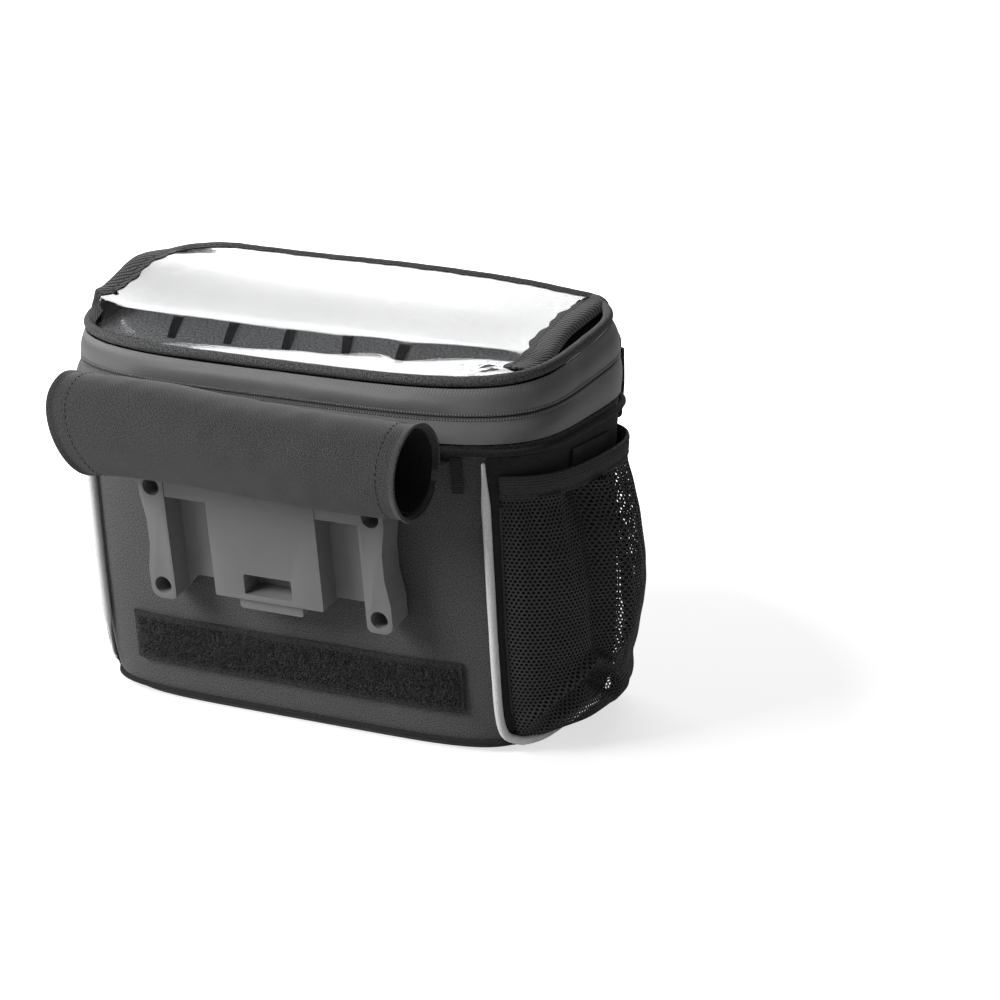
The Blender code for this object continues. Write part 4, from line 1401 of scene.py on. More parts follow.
@dataclass
class BodyShell:
    """The soft tub of heather cloth, with its black side panels and base piping."""

    shop: Workshop
    wall: float = 0.0022
    around: int = 288
    rows: int = 64
    fold: float = 0.0007
    panel_wall: float = 0.00035
    welt: float = 0.0013
    welt_z: float = 0.0046

    def surface_points(self) -> np.ndarray:
        """The outer cloth as rows of points from the floor up, with its soft folds.

        Returns:
            Rows by columns by 3.
        """
        form = self.shop.form
        share = np.linspace(0, 1, self.rows)
        heights = (form.height - form.gap / 2) * share**1.35
        rows = []
        for z in heights:
            points = form.body(float(z)).run(-90, 270, self.around, closed=True)
            points[:, 2] = z
            rows.append(points)
        points = np.array(rows)
        out = grid_normals(points, True)
        out[..., 2] *= 0.3
        lift = smooth(heights / 0.02)[:, None] * smooth((form.height - heights) / 0.012)[:, None]
        soft = grain(points * np.array([1, 1, 0.7]), 26, 3) * self.fold
        soft += grain(points, 70, 5) * self.fold * 0.3
        sag = bump_at(points[..., 2], 0.030, 0.012) * grain(points, 18, 9) * self.fold * 0.8
        return points + out * ((soft + sag - self.fold * 0.6) * lift)[..., None]

    def build(self) -> None:
        """Builds the shell, the side panels and the welt."""
        points = self.surface_points()
        floor = points[0] * np.array([0.965, 0.945, 1]) + np.array([0, -0.0005, 0])
        inner = points[0] * np.array([0.6, 0.6, 1])
        points = np.concatenate([[inner], [floor], points])
        flat = flat_pattern(points, True)
        shell = surface("cloth_shell", points, flat, closed=True, cap_first=True)
        walled(shell, self.wall)
        self.shop.dress(shell, "heather_cloth", "heather_cloth", "body_shell")
        for side in Side:
            self.side_panel(side)
        self.base_welt()

    def side_panel(self, side: Side) -> None:
        """A black cloth panel on one side, between the corner pipings.

        Args:
            side: The side.
        """
        form = self.shop.form
        rows = []
        heights = np.linspace(0.0075, form.height - 0.006, 40)
        for z in heights:
            outline = form.body(float(z)).grown(self.panel_wall * 0.4)
            start = outline.angle_of_x(form.cord_x(side) + 0.0006)
            points = outline.run(-start, start, 72)
            points[:, 2] = z
            rows.append(points * np.array([side.value, 1, 1]))
        points = np.array(rows)
        panel = surface(
            f"side_panel_{side.name.lower()}", points, flat_pattern(points),
            turned=side is Side.LEFT,
        )
        walled(panel, self.panel_wall, 1.0)
        self.shop.dress(panel, "side_cloth", "lid_cloth")

    def base_welt(self) -> None:
        """The piping round the floor seam."""
        form = self.shop.form
        outline = form.body(self.welt_z).grown(self.welt - form.gap)
        path = outline.run(-90, 270, 300, closed=True)
        path[:, 2] = self.welt_z
        welt = cord_piece("base_welt_cord", path, self.welt, 10, closed=True)
        self.shop.dress(welt, "cord_cloth", "cord_cloth", "base_welt")


@dataclass
class CornerPiping:
    """Light grey reflective piping down the rear corners, turning under the pocket at the foot."""

    shop: Workshop
    top: float = 0.1475
    foot_right: tuple[float, float] = (0.0083, 0.0035)
    foot_left: tuple[float, float] = (0.0150, -0.0020)

    def path(self, side: Side) -> np.ndarray:
        """The cord's middle line, from its top down and round its foot.

        Args:
            side: The side.

        Returns:
            The line's points.
        """
        form = self.shop.form
        radius = form.side_cord + form.gap
        cord_x = form.cord_x(side)
        points = []
        for z in np.linspace(self.top, form.base_corner, 40):
            outline = form.body(float(z)).grown(radius)
            points.append((cord_x, float(outline.rear_y(cord_x)), z))
        foot, sweep = self.foot_right if side is Side.RIGHT else self.foot_left
        for share in np.linspace(0, 1, 26)[1:]:
            z = form.base_corner + (foot - form.base_corner) * math.sin(math.pi / 2 * share)
            outline = form.body(float(z)).grown(radius)
            reach = cord_x + sweep * share**2.5
            reach = min(reach, outline.half_x * 0.985)
            points.append((reach, float(outline.rear_y(reach)), z))
        outline = form.body(foot).grown(radius * 0.7)
        start = outline.angle_of_x(points[-1][0])
        if side is Side.RIGHT:
            for spot in outline.run(-start, -start + 42, 16)[1:]:
                points.append((spot[0], spot[1], foot - 0.0025))
        return np.array(points) * np.array([side.value, 1, 1])

    def build(self) -> None:
        """Builds both cords, thin at their tops and feet."""
        form = self.shop.form
        for side in Side:
            count = 180
            line = evenly(self.path(side), count)
            for _ in range(3):
                line[1:-1] = (line[:-2] + line[1:-1] * 2 + line[2:]) / 4
            share = np.linspace(0, 1, count)
            radius = form.side_cord * (0.45 + 0.55 * smooth(share / 0.10))
            fade = 0.40 if side is Side.RIGHT else 0.75
            radius = radius * (1 - fade * smooth((share - 0.80) / 0.12))
            radius = radius * (1 + 0.04 * grain(line, 160, 4))
            label = side.name.lower()
            cord = cord_piece(f"reflective_cord_{label}", line, radius, 14)
            node = f"reflective_piping_{label}"
            self.shop.dress(cord, "reflective_cloth", "reflective_cloth", node)


@dataclass
class Lid:
    """The zipped lid: two coated bands, the zip between them, the hinge, pipings and top panel."""

    shop: Workshop
    wall: float = 0.0018
    around: int = 480
    end_angle: float = 38.0
    slider_angle: float = 42.0
    coil_pitch: float = 0.00135

    def band(
        self, low: Outline, high: Outline, low_line: tuple[float, float],
        high_line: tuple[float, float], rows: int = 16,
    ) -> np.ndarray:
        """Points of a sewn wall between two seam lines, swelling a little between them.

        Args:
            low: Lower outline.
            high: Upper outline.
            low_line: The lower line's height and rise.
            high_line: The upper line's height and rise.
            rows: How many rows.

        Returns:
            Rows by columns by 3.
        """
        form = self.shop.form
        result = []
        for share in np.linspace(0, 1, rows):
            outline = low.blended(high, share).grown(0.0009 * math.sin(math.pi * share))
            points = outline.run(-90, 270, self.around, closed=True)
            below = raised(points, outline, *low_line)
            above = raised(points, outline, *high_line)
            result.append(below + (above - below) * share)
        points = np.array(result)
        out = grid_normals(points, True)
        edge = np.sin(np.pi * np.linspace(0, 1, rows))[:, None] ** 0.5
        soft = grain(points, 38, 21) * 0.00055 + grain(points, 95, 22) * 0.00022
        return points + out * (soft * edge)[..., None]

    def build(self) -> None:
        """Builds the lid's pieces in order, from the lower piping up."""
        form = self.shop.form
        low, middle, rim = form.low(), form.zip(), form.rim()
        zip_low, zip_high = form.zip_height - form.zip_half, form.zip_height + form.zip_half
        lower = self.band(
            low, middle, (form.height + 0.0006, 0.014), (zip_low + 0.0001, form.zip_rise)
        )
        upper = self.band(
            middle, rim, (zip_high - 0.0001, form.zip_rise),
            (form.rim_height - form.gap / 2, form.rim_rise),
        )
        for name, points, node, top_seam in (
            ("lid_band_cloth_lower", lower, "lid_band_lower", 0.0),
            ("lid_band_cloth_upper", upper, "lid_band_upper", 1.0),
        ):
            band = surface(name, points, flat_pattern(points, True), closed=True)
            self.mark_puckers(band, points, top_seam)
            walled(band, self.wall)
            self.shop.dress(band, "coated_cloth", "coated_cloth", node)
        self.pipings()
        self.panel()
        self.zip_closure(middle)

    def mark_puckers(
        self, band: bpy.types.Object, points: np.ndarray, top_seam: float
    ) -> None:
        """Writes where the cloth puckers beside the top seam, strongest at the rear left. The mask
        drives the bump and also paints shade into the folds.

        Args:
            band: The band.
            points: Its grid.
            top_seam: 1 where its top seam puckers.
        """
        rows = points.shape[0]
        share = np.linspace(0, 1, rows)[:, None] * np.ones(points.shape[1])
        mask = smooth((share - 0.62) / 0.3) * top_seam
        mask = mask * (0.35 + 0.65 * smooth((0.02 - points[..., 0]) / 0.09))
        made = band.data.attributes.new("pucker", "FLOAT", "POINT")
        made.data.foreach_set("value", mask.astype(np.float32).ravel())

    def pipings(self) -> None:
        """The heather piping round the rim, and the thin one under the bands."""
        form = self.shop.form
        rim = form.rim()
        path = rim.grown(-0.6 * form.top_cord).run(-90, 270, 520, closed=True)
        path = raised(path, rim, form.rim_height + form.top_cord + form.gap, form.rim_rise)
        path[:, 2] += grain(path, 30, 8) * 0.0003
        radius = form.top_cord * (1 + 0.05 * grain(path, 120, 6))
        top = cord_piece("rim_piping", path, radius, 14, closed=True)
        self.shop.dress(top, "heather_cord", "heather_cord", "top_piping")
        outline = form.body(form.height).grown(form.low_cord + form.gap)
        path = outline.run(-90, 270, 420, closed=True)
        path[:, 2] = form.height - 2 * form.low_cord
        low = cord_piece("body_piping", path, form.low_cord, 10, closed=True)
        self.shop.dress(low, "cord_cloth", "cord_cloth", "lower_piping")

    def panel(self) -> None:
        """The lid's top cloth, a low dome inside the piping."""
        form = self.shop.form
        edge = form.rim().grown(-0.0027)
        ring = edge.run(-90, 270, 144, closed=True)
        rows = []
        for share in np.linspace(1, 0.05, 26):
            points = ring.copy()
            points[:, 0] *= share
            points[:, 1] = edge.centre_y + (points[:, 1] - edge.centre_y) * share
            points[:, 2] = form.rim_z(points[:, 1]) - form.gap + 0.0015 * (1 - share**2)
            points[:, 2] += grain(points, 40, 31) * 0.0005 * (1 - share**4) - 0.0004
            rows.append(points)
        points = np.array(rows)
        flat = np.concatenate([points, points[:, :1]], axis=1)[..., :2]
        top = surface("lid_top_cloth", points, flat, closed=True, cap_last=True)
        walled(top, 0.0016)
        self.shop.dress(top, "lid_cloth", "lid_cloth", "lid_panel")

    def zip_closure(self, middle: Outline) -> None:
        """The coated zip tape with its coils, the hinge at the front, the slider and its pull.

        Args:
            middle: The zip's outline.
        """
        form = self.shop.form
        for name, start, end, node, cloth in (
            ("zip_tape_band", -180 - self.end_angle, self.end_angle, "zip_chain", "zip_tape"),
            ("lid_hinge_cloth", self.end_angle + 1.5, 178.5 - self.end_angle, "lid_hinge",
             "coated_cloth"),
        ):
            rows = []
            for share in np.linspace(-1, 1, 17):
                slit = 0.0011 * bump_at(np.array(share), 0, 0.14) * (node == "zip_chain")
                points = middle.grown(0.0001 - float(slit)).run(start, end, 420)
                rows.append(
                    raised(points, middle, form.zip_height + form.zip_half * share, form.zip_rise)
                )
            points = np.array(rows)
            tape = surface(name, points, flat_pattern(points))
            walled(tape, self.wall)
            self.shop.dress(tape, cloth, cloth, node)
        lines = []
        for level in (-0.00125, 0.00125):
            points = middle.grown(0.0001).run(-180 - self.end_angle + 0.5, self.end_angle - 0.5, 500)
            along = unit(np.gradient(points, axis=0))
            out = np.cross(along, np.array([0.0, 0, 1]))
            points = raised(points, middle, form.zip_height + level, form.zip_rise)
            lines.append((points, out))
        for i, line in enumerate(lines):
            # The coils' pale colour is painted highlight for their glints.
            coils = self.shop.repeat.run(
                f"zip_coils_{i + 1}", [line], self.coil_pitch, (0.00055, 0.0015, 0.0005),
                self.shop.finishes["zip_thread"], lean=0.55 if i else -0.55,
            )
            self.shop.dress(coils, "zip_thread", "zip_tape")
        self.slider(middle)

    def slider(self, middle: Outline) -> None:
        """A slider body of two rounded plates with a crown, a wire bail and a cloth pull.

        Args:
            middle: The zip's outline.
        """
        form = self.shop.form
        place = middle.at(np.array([self.slider_angle]))[0]
        ahead = middle.at(np.array([self.slider_angle + 1]))[0]
        along = unit(ahead - place)
        out = np.cross(along, np.array([0.0, 0, 1]))
        seam = raised(place[None], middle, form.zip_height, form.zip_rise)[0]
        axes = np.stack([along, out, np.array([0.0, 0, 1])], axis=1)
        home = Matrix.Translation(Vector(seam)) @ Matrix(axes.tolist()).to_4x4()
        near = form.plump / 6 + form.gap
        bm = bmesh.new()
        for width, height, start, thick in (
            (0.0085, 0.0105, 0.0, 0.0010), (0.0062, 0.0084, 0.0009, 0.0009),
            (0.0024, 0.0070, 0.0016, 0.0010),
        ):
            made = bmesh.ops.create_cube(bm, size=1)["verts"]
            bmesh.ops.scale(bm, vec=(width, thick, height), verts=made)
            bmesh.ops.translate(bm, vec=(0, near + start + thick / 2, 0), verts=made)
        mesh = bpy.data.meshes.new("zip_slider_body")
        bm.to_mesh(mesh)
        bm.free()
        mesh.transform(home)
        slider = placed("zip_slider_body", mesh, 35)
        edges = slider.modifiers.new("Edges", "BEVEL")
        edges.width = 0.00035
        edges.segments = 3
        settled(slider).data.shade_smooth()
        self.shop.dress(slider, "slider_metal", "slider_metal", "zip_slider")
        crown = near + 0.0026 + form.gap + 0.0007
        half = 0.0036
        loop = np.array([
            (-half * 0.5, crown, 0.0037), (-half, crown + 0.0004, 0.0010),
            (-half, crown + 0.0008, -0.0031), (half, crown + 0.0008, -0.0031),
            (half, crown + 0.0004, 0.0010), (half * 0.5, crown, 0.0037),
        ])
        smooth_loop = np.concatenate([loop, loop[:1]])
        smooth_loop = evenly(smooth_loop, 49)[:-1]
        smooth_loop = (smooth_loop + np.roll(smooth_loop, 1, 0) + np.roll(smooth_loop, -1, 0)) / 3
        world = smooth_loop @ axes.T + seam
        bail = cord_piece("zip_bail_wire", world, 0.0007, 8, closed=True)
        self.shop.dress(bail, "slider_metal", "slider_metal", "zip_bail")
        rows = []
        for share in np.linspace(0, 1, 40):
            width = 0.010 * (0.8 + 0.2 * min(share * 2, 1))
            width *= 1 - 0.45 * max(0.0, (share - 0.93) / 0.07) ** 2
            z = -0.0031 - 0.0007 - form.gap - 0.035 * share
            away = crown + 0.0008 - 0.0008 * share + 0.0008
            away += 0.0006 * math.sin(share * 5.0) * share
            line = [(x, away, z) for x in np.linspace(-width / 2, width / 2, 10)]
            rows.append(np.array(line) @ axes.T + seam)
        points = np.array(rows)
        pull = surface("zip_pull_tape", points, flat_pattern(points))
        walled(pull, 0.0014)
        self.shop.dress(pull, "webbing", "webbing", "zip_pull")


@dataclass
class MapSleeve:
    """The clear sleeve on the lid: film, twill binding, and the strip with loops under the film."""

    shop: Workshop
    right: float = 0.1125
    left: float = 0.1205
    back: float = 0.0465
    corner_left: float = 0.030
    corner_right: float = 0.009
    wall: float = 0.0005
    tape_wall: float = 0.0009
    strip_back: float = -0.026
    across: int = 170
    along: int = 96
    # x, then the plan y of the crease
    crease_rows: tuple[tuple[float, ...], ...] = (
        (-0.122, -0.0800), (-0.0722, -0.0760), (-0.0600, -0.0700), (-0.0479, -0.0685),
        (-0.0215, -0.0668), (0.0024, -0.0618), (0.0200, -0.0625), (0.0290, -0.0560),
        (0.0370, -0.0520), (0.0547, -0.0614), (0.0655, -0.0524), (0.0769, -0.0470),
        (0.0929, -0.0440), (0.1125, -0.0400),
    )
    # x, then the plan y of the bend and the film's height over the lid there
    bend_rows: tuple[tuple[float, ...], ...] = (
        (-0.1205, -0.0400, 0.0100), (-0.1120, -0.0570, 0.0102), (-0.0994, -0.0610, 0.0106),
        (-0.0791, -0.0590, 0.0097), (-0.0559, -0.0545, 0.0079), (-0.0303, -0.0514, 0.0066),
        (-0.0050, -0.0483, 0.0055), (0.0221, -0.0470, 0.0052), (0.0480, -0.0465, 0.0050),
        (0.0728, -0.0430, 0.0046), (0.0856, -0.0385, 0.0034), (0.0969, -0.0320, 0.0022),
        (0.1125, -0.0250, 0.0010),
    )
    # share across, then the film's height over the lid at the middle and at the back
    far_rows: tuple[tuple[float, ...], ...] = (
        (0.00, 0.0172, 0.0105), (0.04, 0.0160, 0.0098), (0.10, 0.0142, 0.0082),
        (0.26, 0.0108, 0.0078), (0.50, 0.0084, 0.0078), (0.70, 0.0072, 0.0072),
        (0.86, 0.0052, 0.0050), (0.95, 0.0028, 0.0024), (1.00, 0.0008, 0.0006),
    )

    def near_y(self, x: np.ndarray) -> np.ndarray:
        """The film's near edge, inside the top piping and close to it at the left.

        Args:
            x: Places across.

        Returns:
            The y of the edge.
        """
        x = np.asarray(x, dtype=float)
        inset = 0.0030 + 0.0030 * smooth((x + 0.112) / 0.035)
        rim = self.shop.form.rim()
        share = np.clip(np.abs(x) / (rim.half_x - inset), 0, 1)
        depth = (1 - share**rim.power) ** (1 / rim.power)
        return rim.centre_y - (rim.half_y - inset) * depth

    def film(self, a: np.ndarray, b: np.ndarray, extra: float = 0.0) -> np.ndarray:
        """Points of the film.

        Args:
            a: Shares across, from left to right.
            b: Shares along, from the near edge to the back.
            extra: Height added.

        Returns:
            The points, with X, Y and Z last.
        """
        form = self.shop.form
        width = self.right + self.left
        x = -self.left + width * a
        near = self.near_y(x)
        cut_left = np.maximum(0.0, 1 - a * width / self.corner_left)
        cut_right = np.maximum(0.0, 1 - (1 - a) * width / self.corner_right)
        back = self.back - self.corner_left * (1 - np.sqrt(np.maximum(0.0, 1 - cut_left**2)))
        back = back - self.corner_right * (1 - np.sqrt(np.maximum(0.0, 1 - cut_right**2)))
        y = near + (back - near) * b
        flare = bump_at(y, -0.036, 0.020) * smooth((a - 0.80) / 0.20)
        crease = np.maximum(table_smooth(self.crease_rows, x, 1, 0.012), near + 0.0008)
        bend = np.maximum(table_smooth(self.bend_rows, x, 1), crease + 0.0045)
        height = table_smooth(self.bend_rows, x, 2)
        middle = table_smooth(self.far_rows, a, 1)
        far = table_smooth(self.far_rows, a, 2)
        climb = np.clip((y - crease) / (bend - crease), 0, 1)
        rise = height * (1 - (1 - climb) ** 1.6)
        share = np.clip((y - bend) / np.maximum(back - bend, 1e-4), 0, 1)
        level = height + (middle - height) * smooth(share / 0.5)
        level = level + (far - middle) * smooth((share - 0.5) / 0.5)
        lift = np.where(y < bend, rise, level)
        flat_place = np.stack([x, y, np.zeros_like(x)], axis=-1)
        wander = grain(flat_place, 24, 41) * 0.00020 + grain(flat_place, 60, 42) * 0.00003
        corner_left = bump_at(x, -0.109, 0.015) * bump_at(y, -0.062, 0.012)
        corner_left = 0.4 * corner_left * (1 - smooth((y - bend + 0.004) / 0.004))
        corner_right = bump_at(x, 0.093, 0.008) * bump_at(y, -0.053, 0.009)
        crumple = grain(flat_place, 170, 43) * 0.0020 + grain(flat_place, 340, 44) * 0.0010
        lift = lift + wander * smooth(lift / 0.002)
        lift = lift + crumple * np.maximum(corner_left, corner_right)
        z = form.rim_z(y) + 0.0028 + np.maximum(lift, 0.0) + extra
        return np.stack([x + 0.0055 * flare, y - 0.004 * flare, z], axis=-1)

    def build(self) -> None:
        """Builds the sleeve's pieces."""
        a = np.linspace(0, 1, self.across)
        b = np.concatenate([np.linspace(0, 0.34, 56)[:-1], np.linspace(0.34, 1, self.along - 55)])
        grid_a, grid_b = np.meshgrid(a, b)
        points = self.film(grid_a, grid_b)
        film = surface("sleeve_film", points, points[..., :2].copy())
        walled(film, self.wall)
        self.shop.dress(film, "clear_film", "clear_film", "map_window")
        self.binding()
        self.side_web()
        self.strip()

    def edge_path(self) -> list[tuple[float, float]]:
        """Shares across and along, from the near left end round the back to the near right.

        Returns:
            The pairs in order.
        """
        path = [(float(a), 0.0) for a in np.linspace(0.055, 0.0, 24)[:-1]]
        path += [(0.0, float(b)) for b in np.linspace(0.0, 0.90, 76)]
        path += [(float(a), 1.0) for a in np.linspace(0, 1, 190)]
        path += [(1.0, float(b)) for b in np.linspace(0.90, 0.05, 60)]
        return path

    def binding(self) -> None:
        """Twill tape folded over the film's edge, narrow at the back and left, wide at the right."""
        path = self.edge_path()
        width = self.right + self.left
        outer, inner, drops = [], [], []
        for a, b in path:
            right = float(smooth(np.array((a - 0.95) / 0.05)))
            left = float(smooth(np.array((0.17 - a) / 0.15)))
            foot = float(smooth(np.array((0.16 - b) / 0.12))) * left
            wave = 1 + 0.07 * math.sin(a * 61 + b * 23) + 0.05 * math.sin(a * 143 + b * 57)
            tape = (0.0050 + 0.0066 * right + 0.0068 * left - 0.0060 * foot) * wave
            ends = self.film(np.array([a, a]), np.array([0.0, 1.0]))
            cut_a, cut_b = tape / width, tape / float(ends[1, 1] - ends[0, 1])
            inner.append((min(max(a, cut_a), 1 - cut_a), min(max(b, cut_b), 1 - cut_b)))
            outer.append((a, b))
            drops.append(0.0012 + 0.0020 * left * (1 - foot) + 0.0012 * right)
        drop = np.array(drops)
        outer, inner = np.array(outer), np.array(inner)
        rows = []
        for share in np.linspace(0, 1, 9):
            at = outer + (inner - outer) * share
            thick = 0.0004 + self.tape_wall * math.sin(math.pi * min(share * 1.15 + 0.12, 1)) ** 0.5
            points = self.film(at[:, 0], at[:, 1], thick)
            points[:, 2] -= drop * max(0.0, 1 - share / 0.35) ** 2
            points[:, 0] -= 0.0024 * (1 - share) * (at[:, 0] < 0.1)
            points[:, 0] += 0.0024 * (1 - share) * (at[:, 0] > 0.97)
            rows.append(points)
        points = np.array(rows)
        reach = lengths_along(points[0])
        flat = np.stack(
            np.meshgrid(reach, np.linspace(0, 0.013, len(rows))), axis=-1
        )
        tape = surface("sleeve_binding", points, flat, turned=True)
        walled(tape, self.tape_wall)
        self.shop.dress(tape, "binding_tape", "binding_tape", "map_binding")
        out = unit(np.cross(np.gradient(points[6], axis=0), points[4] - points[7]))
        out = np.where(out[:, 2:] < 0, -out, out)
        stitches = self.shop.repeat.run(
            "sleeve_stitches", [(points[6] + out * 0.0001, out)], 0.0028,
            (0.0020, 0.00045, 0.0004), self.shop.finishes["stitch_thread"],
        )
        self.shop.dress(stitches, "stitch_thread", "binding_tape")

    def side_web(self) -> None:
        """The dark cloth web that closes the sleeve's raised left side."""
        rows = []
        at = [(0.0, float(b)) for b in np.linspace(0.0, 1.0, 70)]
        at = np.array(at + [(float(a), 1.0) for a in np.linspace(0, 0.2, 30)])
        top = self.film(at[:, 0], at[:, 1], -0.0006)
        top[:, 0] += 0.0016
        top[:, 1] -= 0.0010
        foot = top.copy()
        foot[:, 2] = self.shop.form.rim_z(top[:, 1]) + 0.0012
        for share in np.linspace(0, 1, 10):
            bow = 0.0012 * math.sin(math.pi * share)
            row = foot + (top - foot) * share
            row[:, 0] += bow
            rows.append(row)
        points = np.array(rows)
        web = surface("sleeve_side_web", points, flat_pattern(points))
        walled(web, 0.0005, 0.0)
        self.shop.dress(web, "lid_cloth", "binding_tape")

    def on_lid(self, x: np.ndarray, y: np.ndarray, extra: float) -> np.ndarray:
        """Points on the lid's top cloth.

        Args:
            x: Places across.
            y: Places along.
            extra: Height added.

        Returns:
            The points.
        """
        z = self.shop.form.rim_z(y) + 0.0015 + extra
        return np.stack([x, y, z + np.zeros_like(x)], axis=-1)

    def strip(self) -> None:
        """The heather strip under the film's near part, and the five dark loops across it."""
        x, share = np.meshgrid(np.linspace(-0.112, 0.104, 120), np.linspace(0, 1, 20))
        near = self.near_y(x) + 0.0035
        y = near + (self.strip_back - near) * share
        points = self.on_lid(x, y, 0.0003)
        points[..., 2] += grain(points, 60, 51) * 0.00015
        strip = surface("sleeve_strip", points, points[..., :2].copy())
        walled(strip, 0.0007)
        # The strip's finish is lighter than its own grey: painted light for what the film holds
        # back.
        self.shop.dress(strip, "strip_cloth", "heather_cord", "map_strip")
        ends = (
            ((-0.0794, -0.0356), (-0.0664, -0.0641)), ((-0.0483, -0.0347), (-0.0362, -0.0630)),
            ((-0.0175, -0.0337), (-0.0050, -0.0628)), ((0.0130, -0.0340), (0.0265, -0.0623)),
            ((0.0451, -0.0380), (0.0544, -0.0629)),
        )
        for i, (back, front) in enumerate(ends):
            rows = []
            for share in np.linspace(0, 1, 14):
                mid = np.array(front) + (np.array(back) - np.array(front)) * share
                half = 0.0021 + 0.0006 * share
                xs = np.linspace(mid[0] - half, mid[0] + half, 6)
                arch = 0.0002 + 0.0007 * math.sin(math.pi * share)
                rows.append(self.on_lid(xs, np.full(6, mid[1]), 0.0005 + arch))
            points = np.array(rows)
            bar = surface(f"sleeve_loop_{i + 1}", points, flat_pattern(points))
            walled(bar, 0.0006)
            self.shop.dress(bar, "lid_cloth", "binding_tape", f"map_loop_{i + 1}")


@dataclass
class RolledFlap:
    """The cover flap rolled into an open sleeve under the lid, with its hem and its keeper."""

    shop: Workshop
    length: float = 0.182
    shift: float = -0.0005
    radius_right: float = 0.0222
    radius_left: float = 0.0236
    lift: float = 0.0016
    flatten: float = 0.96
    wall: float = 0.0016
    height: float = 0.1515
    root: float = 0.1485
    turn: float = 342.0
    sag: float = 0.0012
    taper: float = 0.0155
    # Thickness of the dark sheet inside the roll, which paints the tube's inner shade.
    inner_shade_wall: float = 0.0004

    def section(self, share: np.ndarray, steps: int) -> np.ndarray:
        """The rolled cloth's line at shares along its length, from the root seam round.

        Args:
            share: Shares along.
            steps: Points round the roll.

        Returns:
            Shares by points by 3.
        """
        form = self.shop.form
        outline = form.body(form.height).grown(2 * form.low_cord + 2 * form.gap)
        cord = float(outline.rear_y(0.0))
        columns = []
        for s in share:
            x = self.length * (s - 0.5) + self.shift
            radius = self.radius_left + (self.radius_right - self.radius_left) * s
            sag = self.sag * math.sin(2 * math.pi * s)
            centre_y = cord - radius - form.gap
            root = float(form.body(self.root).grown(2 * form.gap).rear_y(x))
            start = [(x, root, self.root), (x, (root + centre_y + radius) / 2, self.root - 0.0004)]
            turn = np.linspace(0, 1, steps)
            angle = np.radians(-8 + self.turn * turn)
            drawn = self.taper * smooth((turn - 0.36) / 0.40) * (1 - s)
            line = np.stack([
                x + drawn, centre_y + radius * np.cos(angle),
                self.height + self.lift * (1 - s) + sag + radius * self.flatten * np.sin(angle),
            ], axis=1)
            columns.append(np.concatenate([start, line]))
        return np.array(columns)

    def build(self) -> None:
        """Builds the roll, its hem stitches and the keeper strap."""
        share = np.linspace(0, 1, 150)
        points = self.section(share, 120)
        turns = np.linspace(0, 1, points.shape[1])[None, :]
        middle = points.mean(axis=1, keepdims=True)
        out = unit((points - middle) * np.array([0, 1, 1]))
        dent = grain(points * np.array([0.5, 1, 1]), 42, 61) * 0.0010
        dent += grain(points, 110, 62) * 0.00028
        ends = np.minimum(share, 1 - share)[:, None]
        hem = 0.00045 * (smooth(ends / 0.002) * (1 - smooth((ends - 0.009) / 0.0015)))
        calm = smooth(turns / 0.08) * smooth((1 - turns) / 0.04)
        flare = 0.0010 * bump_at(ends, 0, 0.010)
        points = points + out * ((dent + hem + flare) * calm)[..., None]
        roll = surface("flap_roll_cloth", points, flat_pattern(points))
        walled(roll, self.wall)
        self.shop.dress(roll, "flap_knit", "heather_cloth", "flap_roll")
        self.inner_shade()
        lines = []
        for column in (8, -9):
            line = points[column] + out[column] * 0.0002
            lines.append((line[6:-3], out[column][6:-3]))
        stitches = self.shop.repeat.run(
            "flap_stitches", lines, 0.0030, (0.0021, 0.0005, 0.0004),
            self.shop.finishes["stitch_thread"],
        )
        self.shop.dress(stitches, "stitch_thread", "heather_cloth")
        self.keeper()

    def inner_shade(self) -> None:
        """A near-black sheet inside the roll, painted shade for the shadow inside the tube."""
        share = np.linspace(0.012, 0.988, 60)
        ring = self.section(share, 97)[:, 2:]
        middle = ring.mean(axis=1, keepdims=True)
        close = np.concatenate([ring, ring[:, :1] * 0.5 + ring[:, -1:] * 0.5], axis=1)
        inward = (close - middle) * np.array([0, 1, 1])
        inner = close - unit(inward) * (self.wall + 0.0011)
        cloth = surface("flap_lining", inner, flat_pattern(inner, True), closed=True)
        walled(cloth, self.inner_shade_wall)
        # Painted shade: this dark sheet stands for the shadow inside the roll.
        self.shop.dress(cloth, "dark_lining", "heather_cloth")

    def keeper(self) -> None:
        """The short webbing loop beside the roll's right end."""
        form = self.shop.form
        centre_x = self.shift + self.length / 2 + 2 * form.gap + 0.0025
        middle = self.height - 0.0099
        rows = []
        for z in np.linspace(middle - 0.009, middle + 0.009, 30):
            outline = form.body(float(z)).grown(form.gap + 0.0015)
            xs = np.linspace(centre_x - 0.0025, centre_x + 0.0025, 8)
            rows.append(np.stack([xs, outline.rear_y(xs), np.full(8, z)], axis=1))
        points = np.array(rows)
        keeper = surface("flap_keeper", points, flat_pattern(points))
        walled(keeper, 0.0014)
        self.shop.dress(keeper, "webbing", "webbing", "flap_strap")


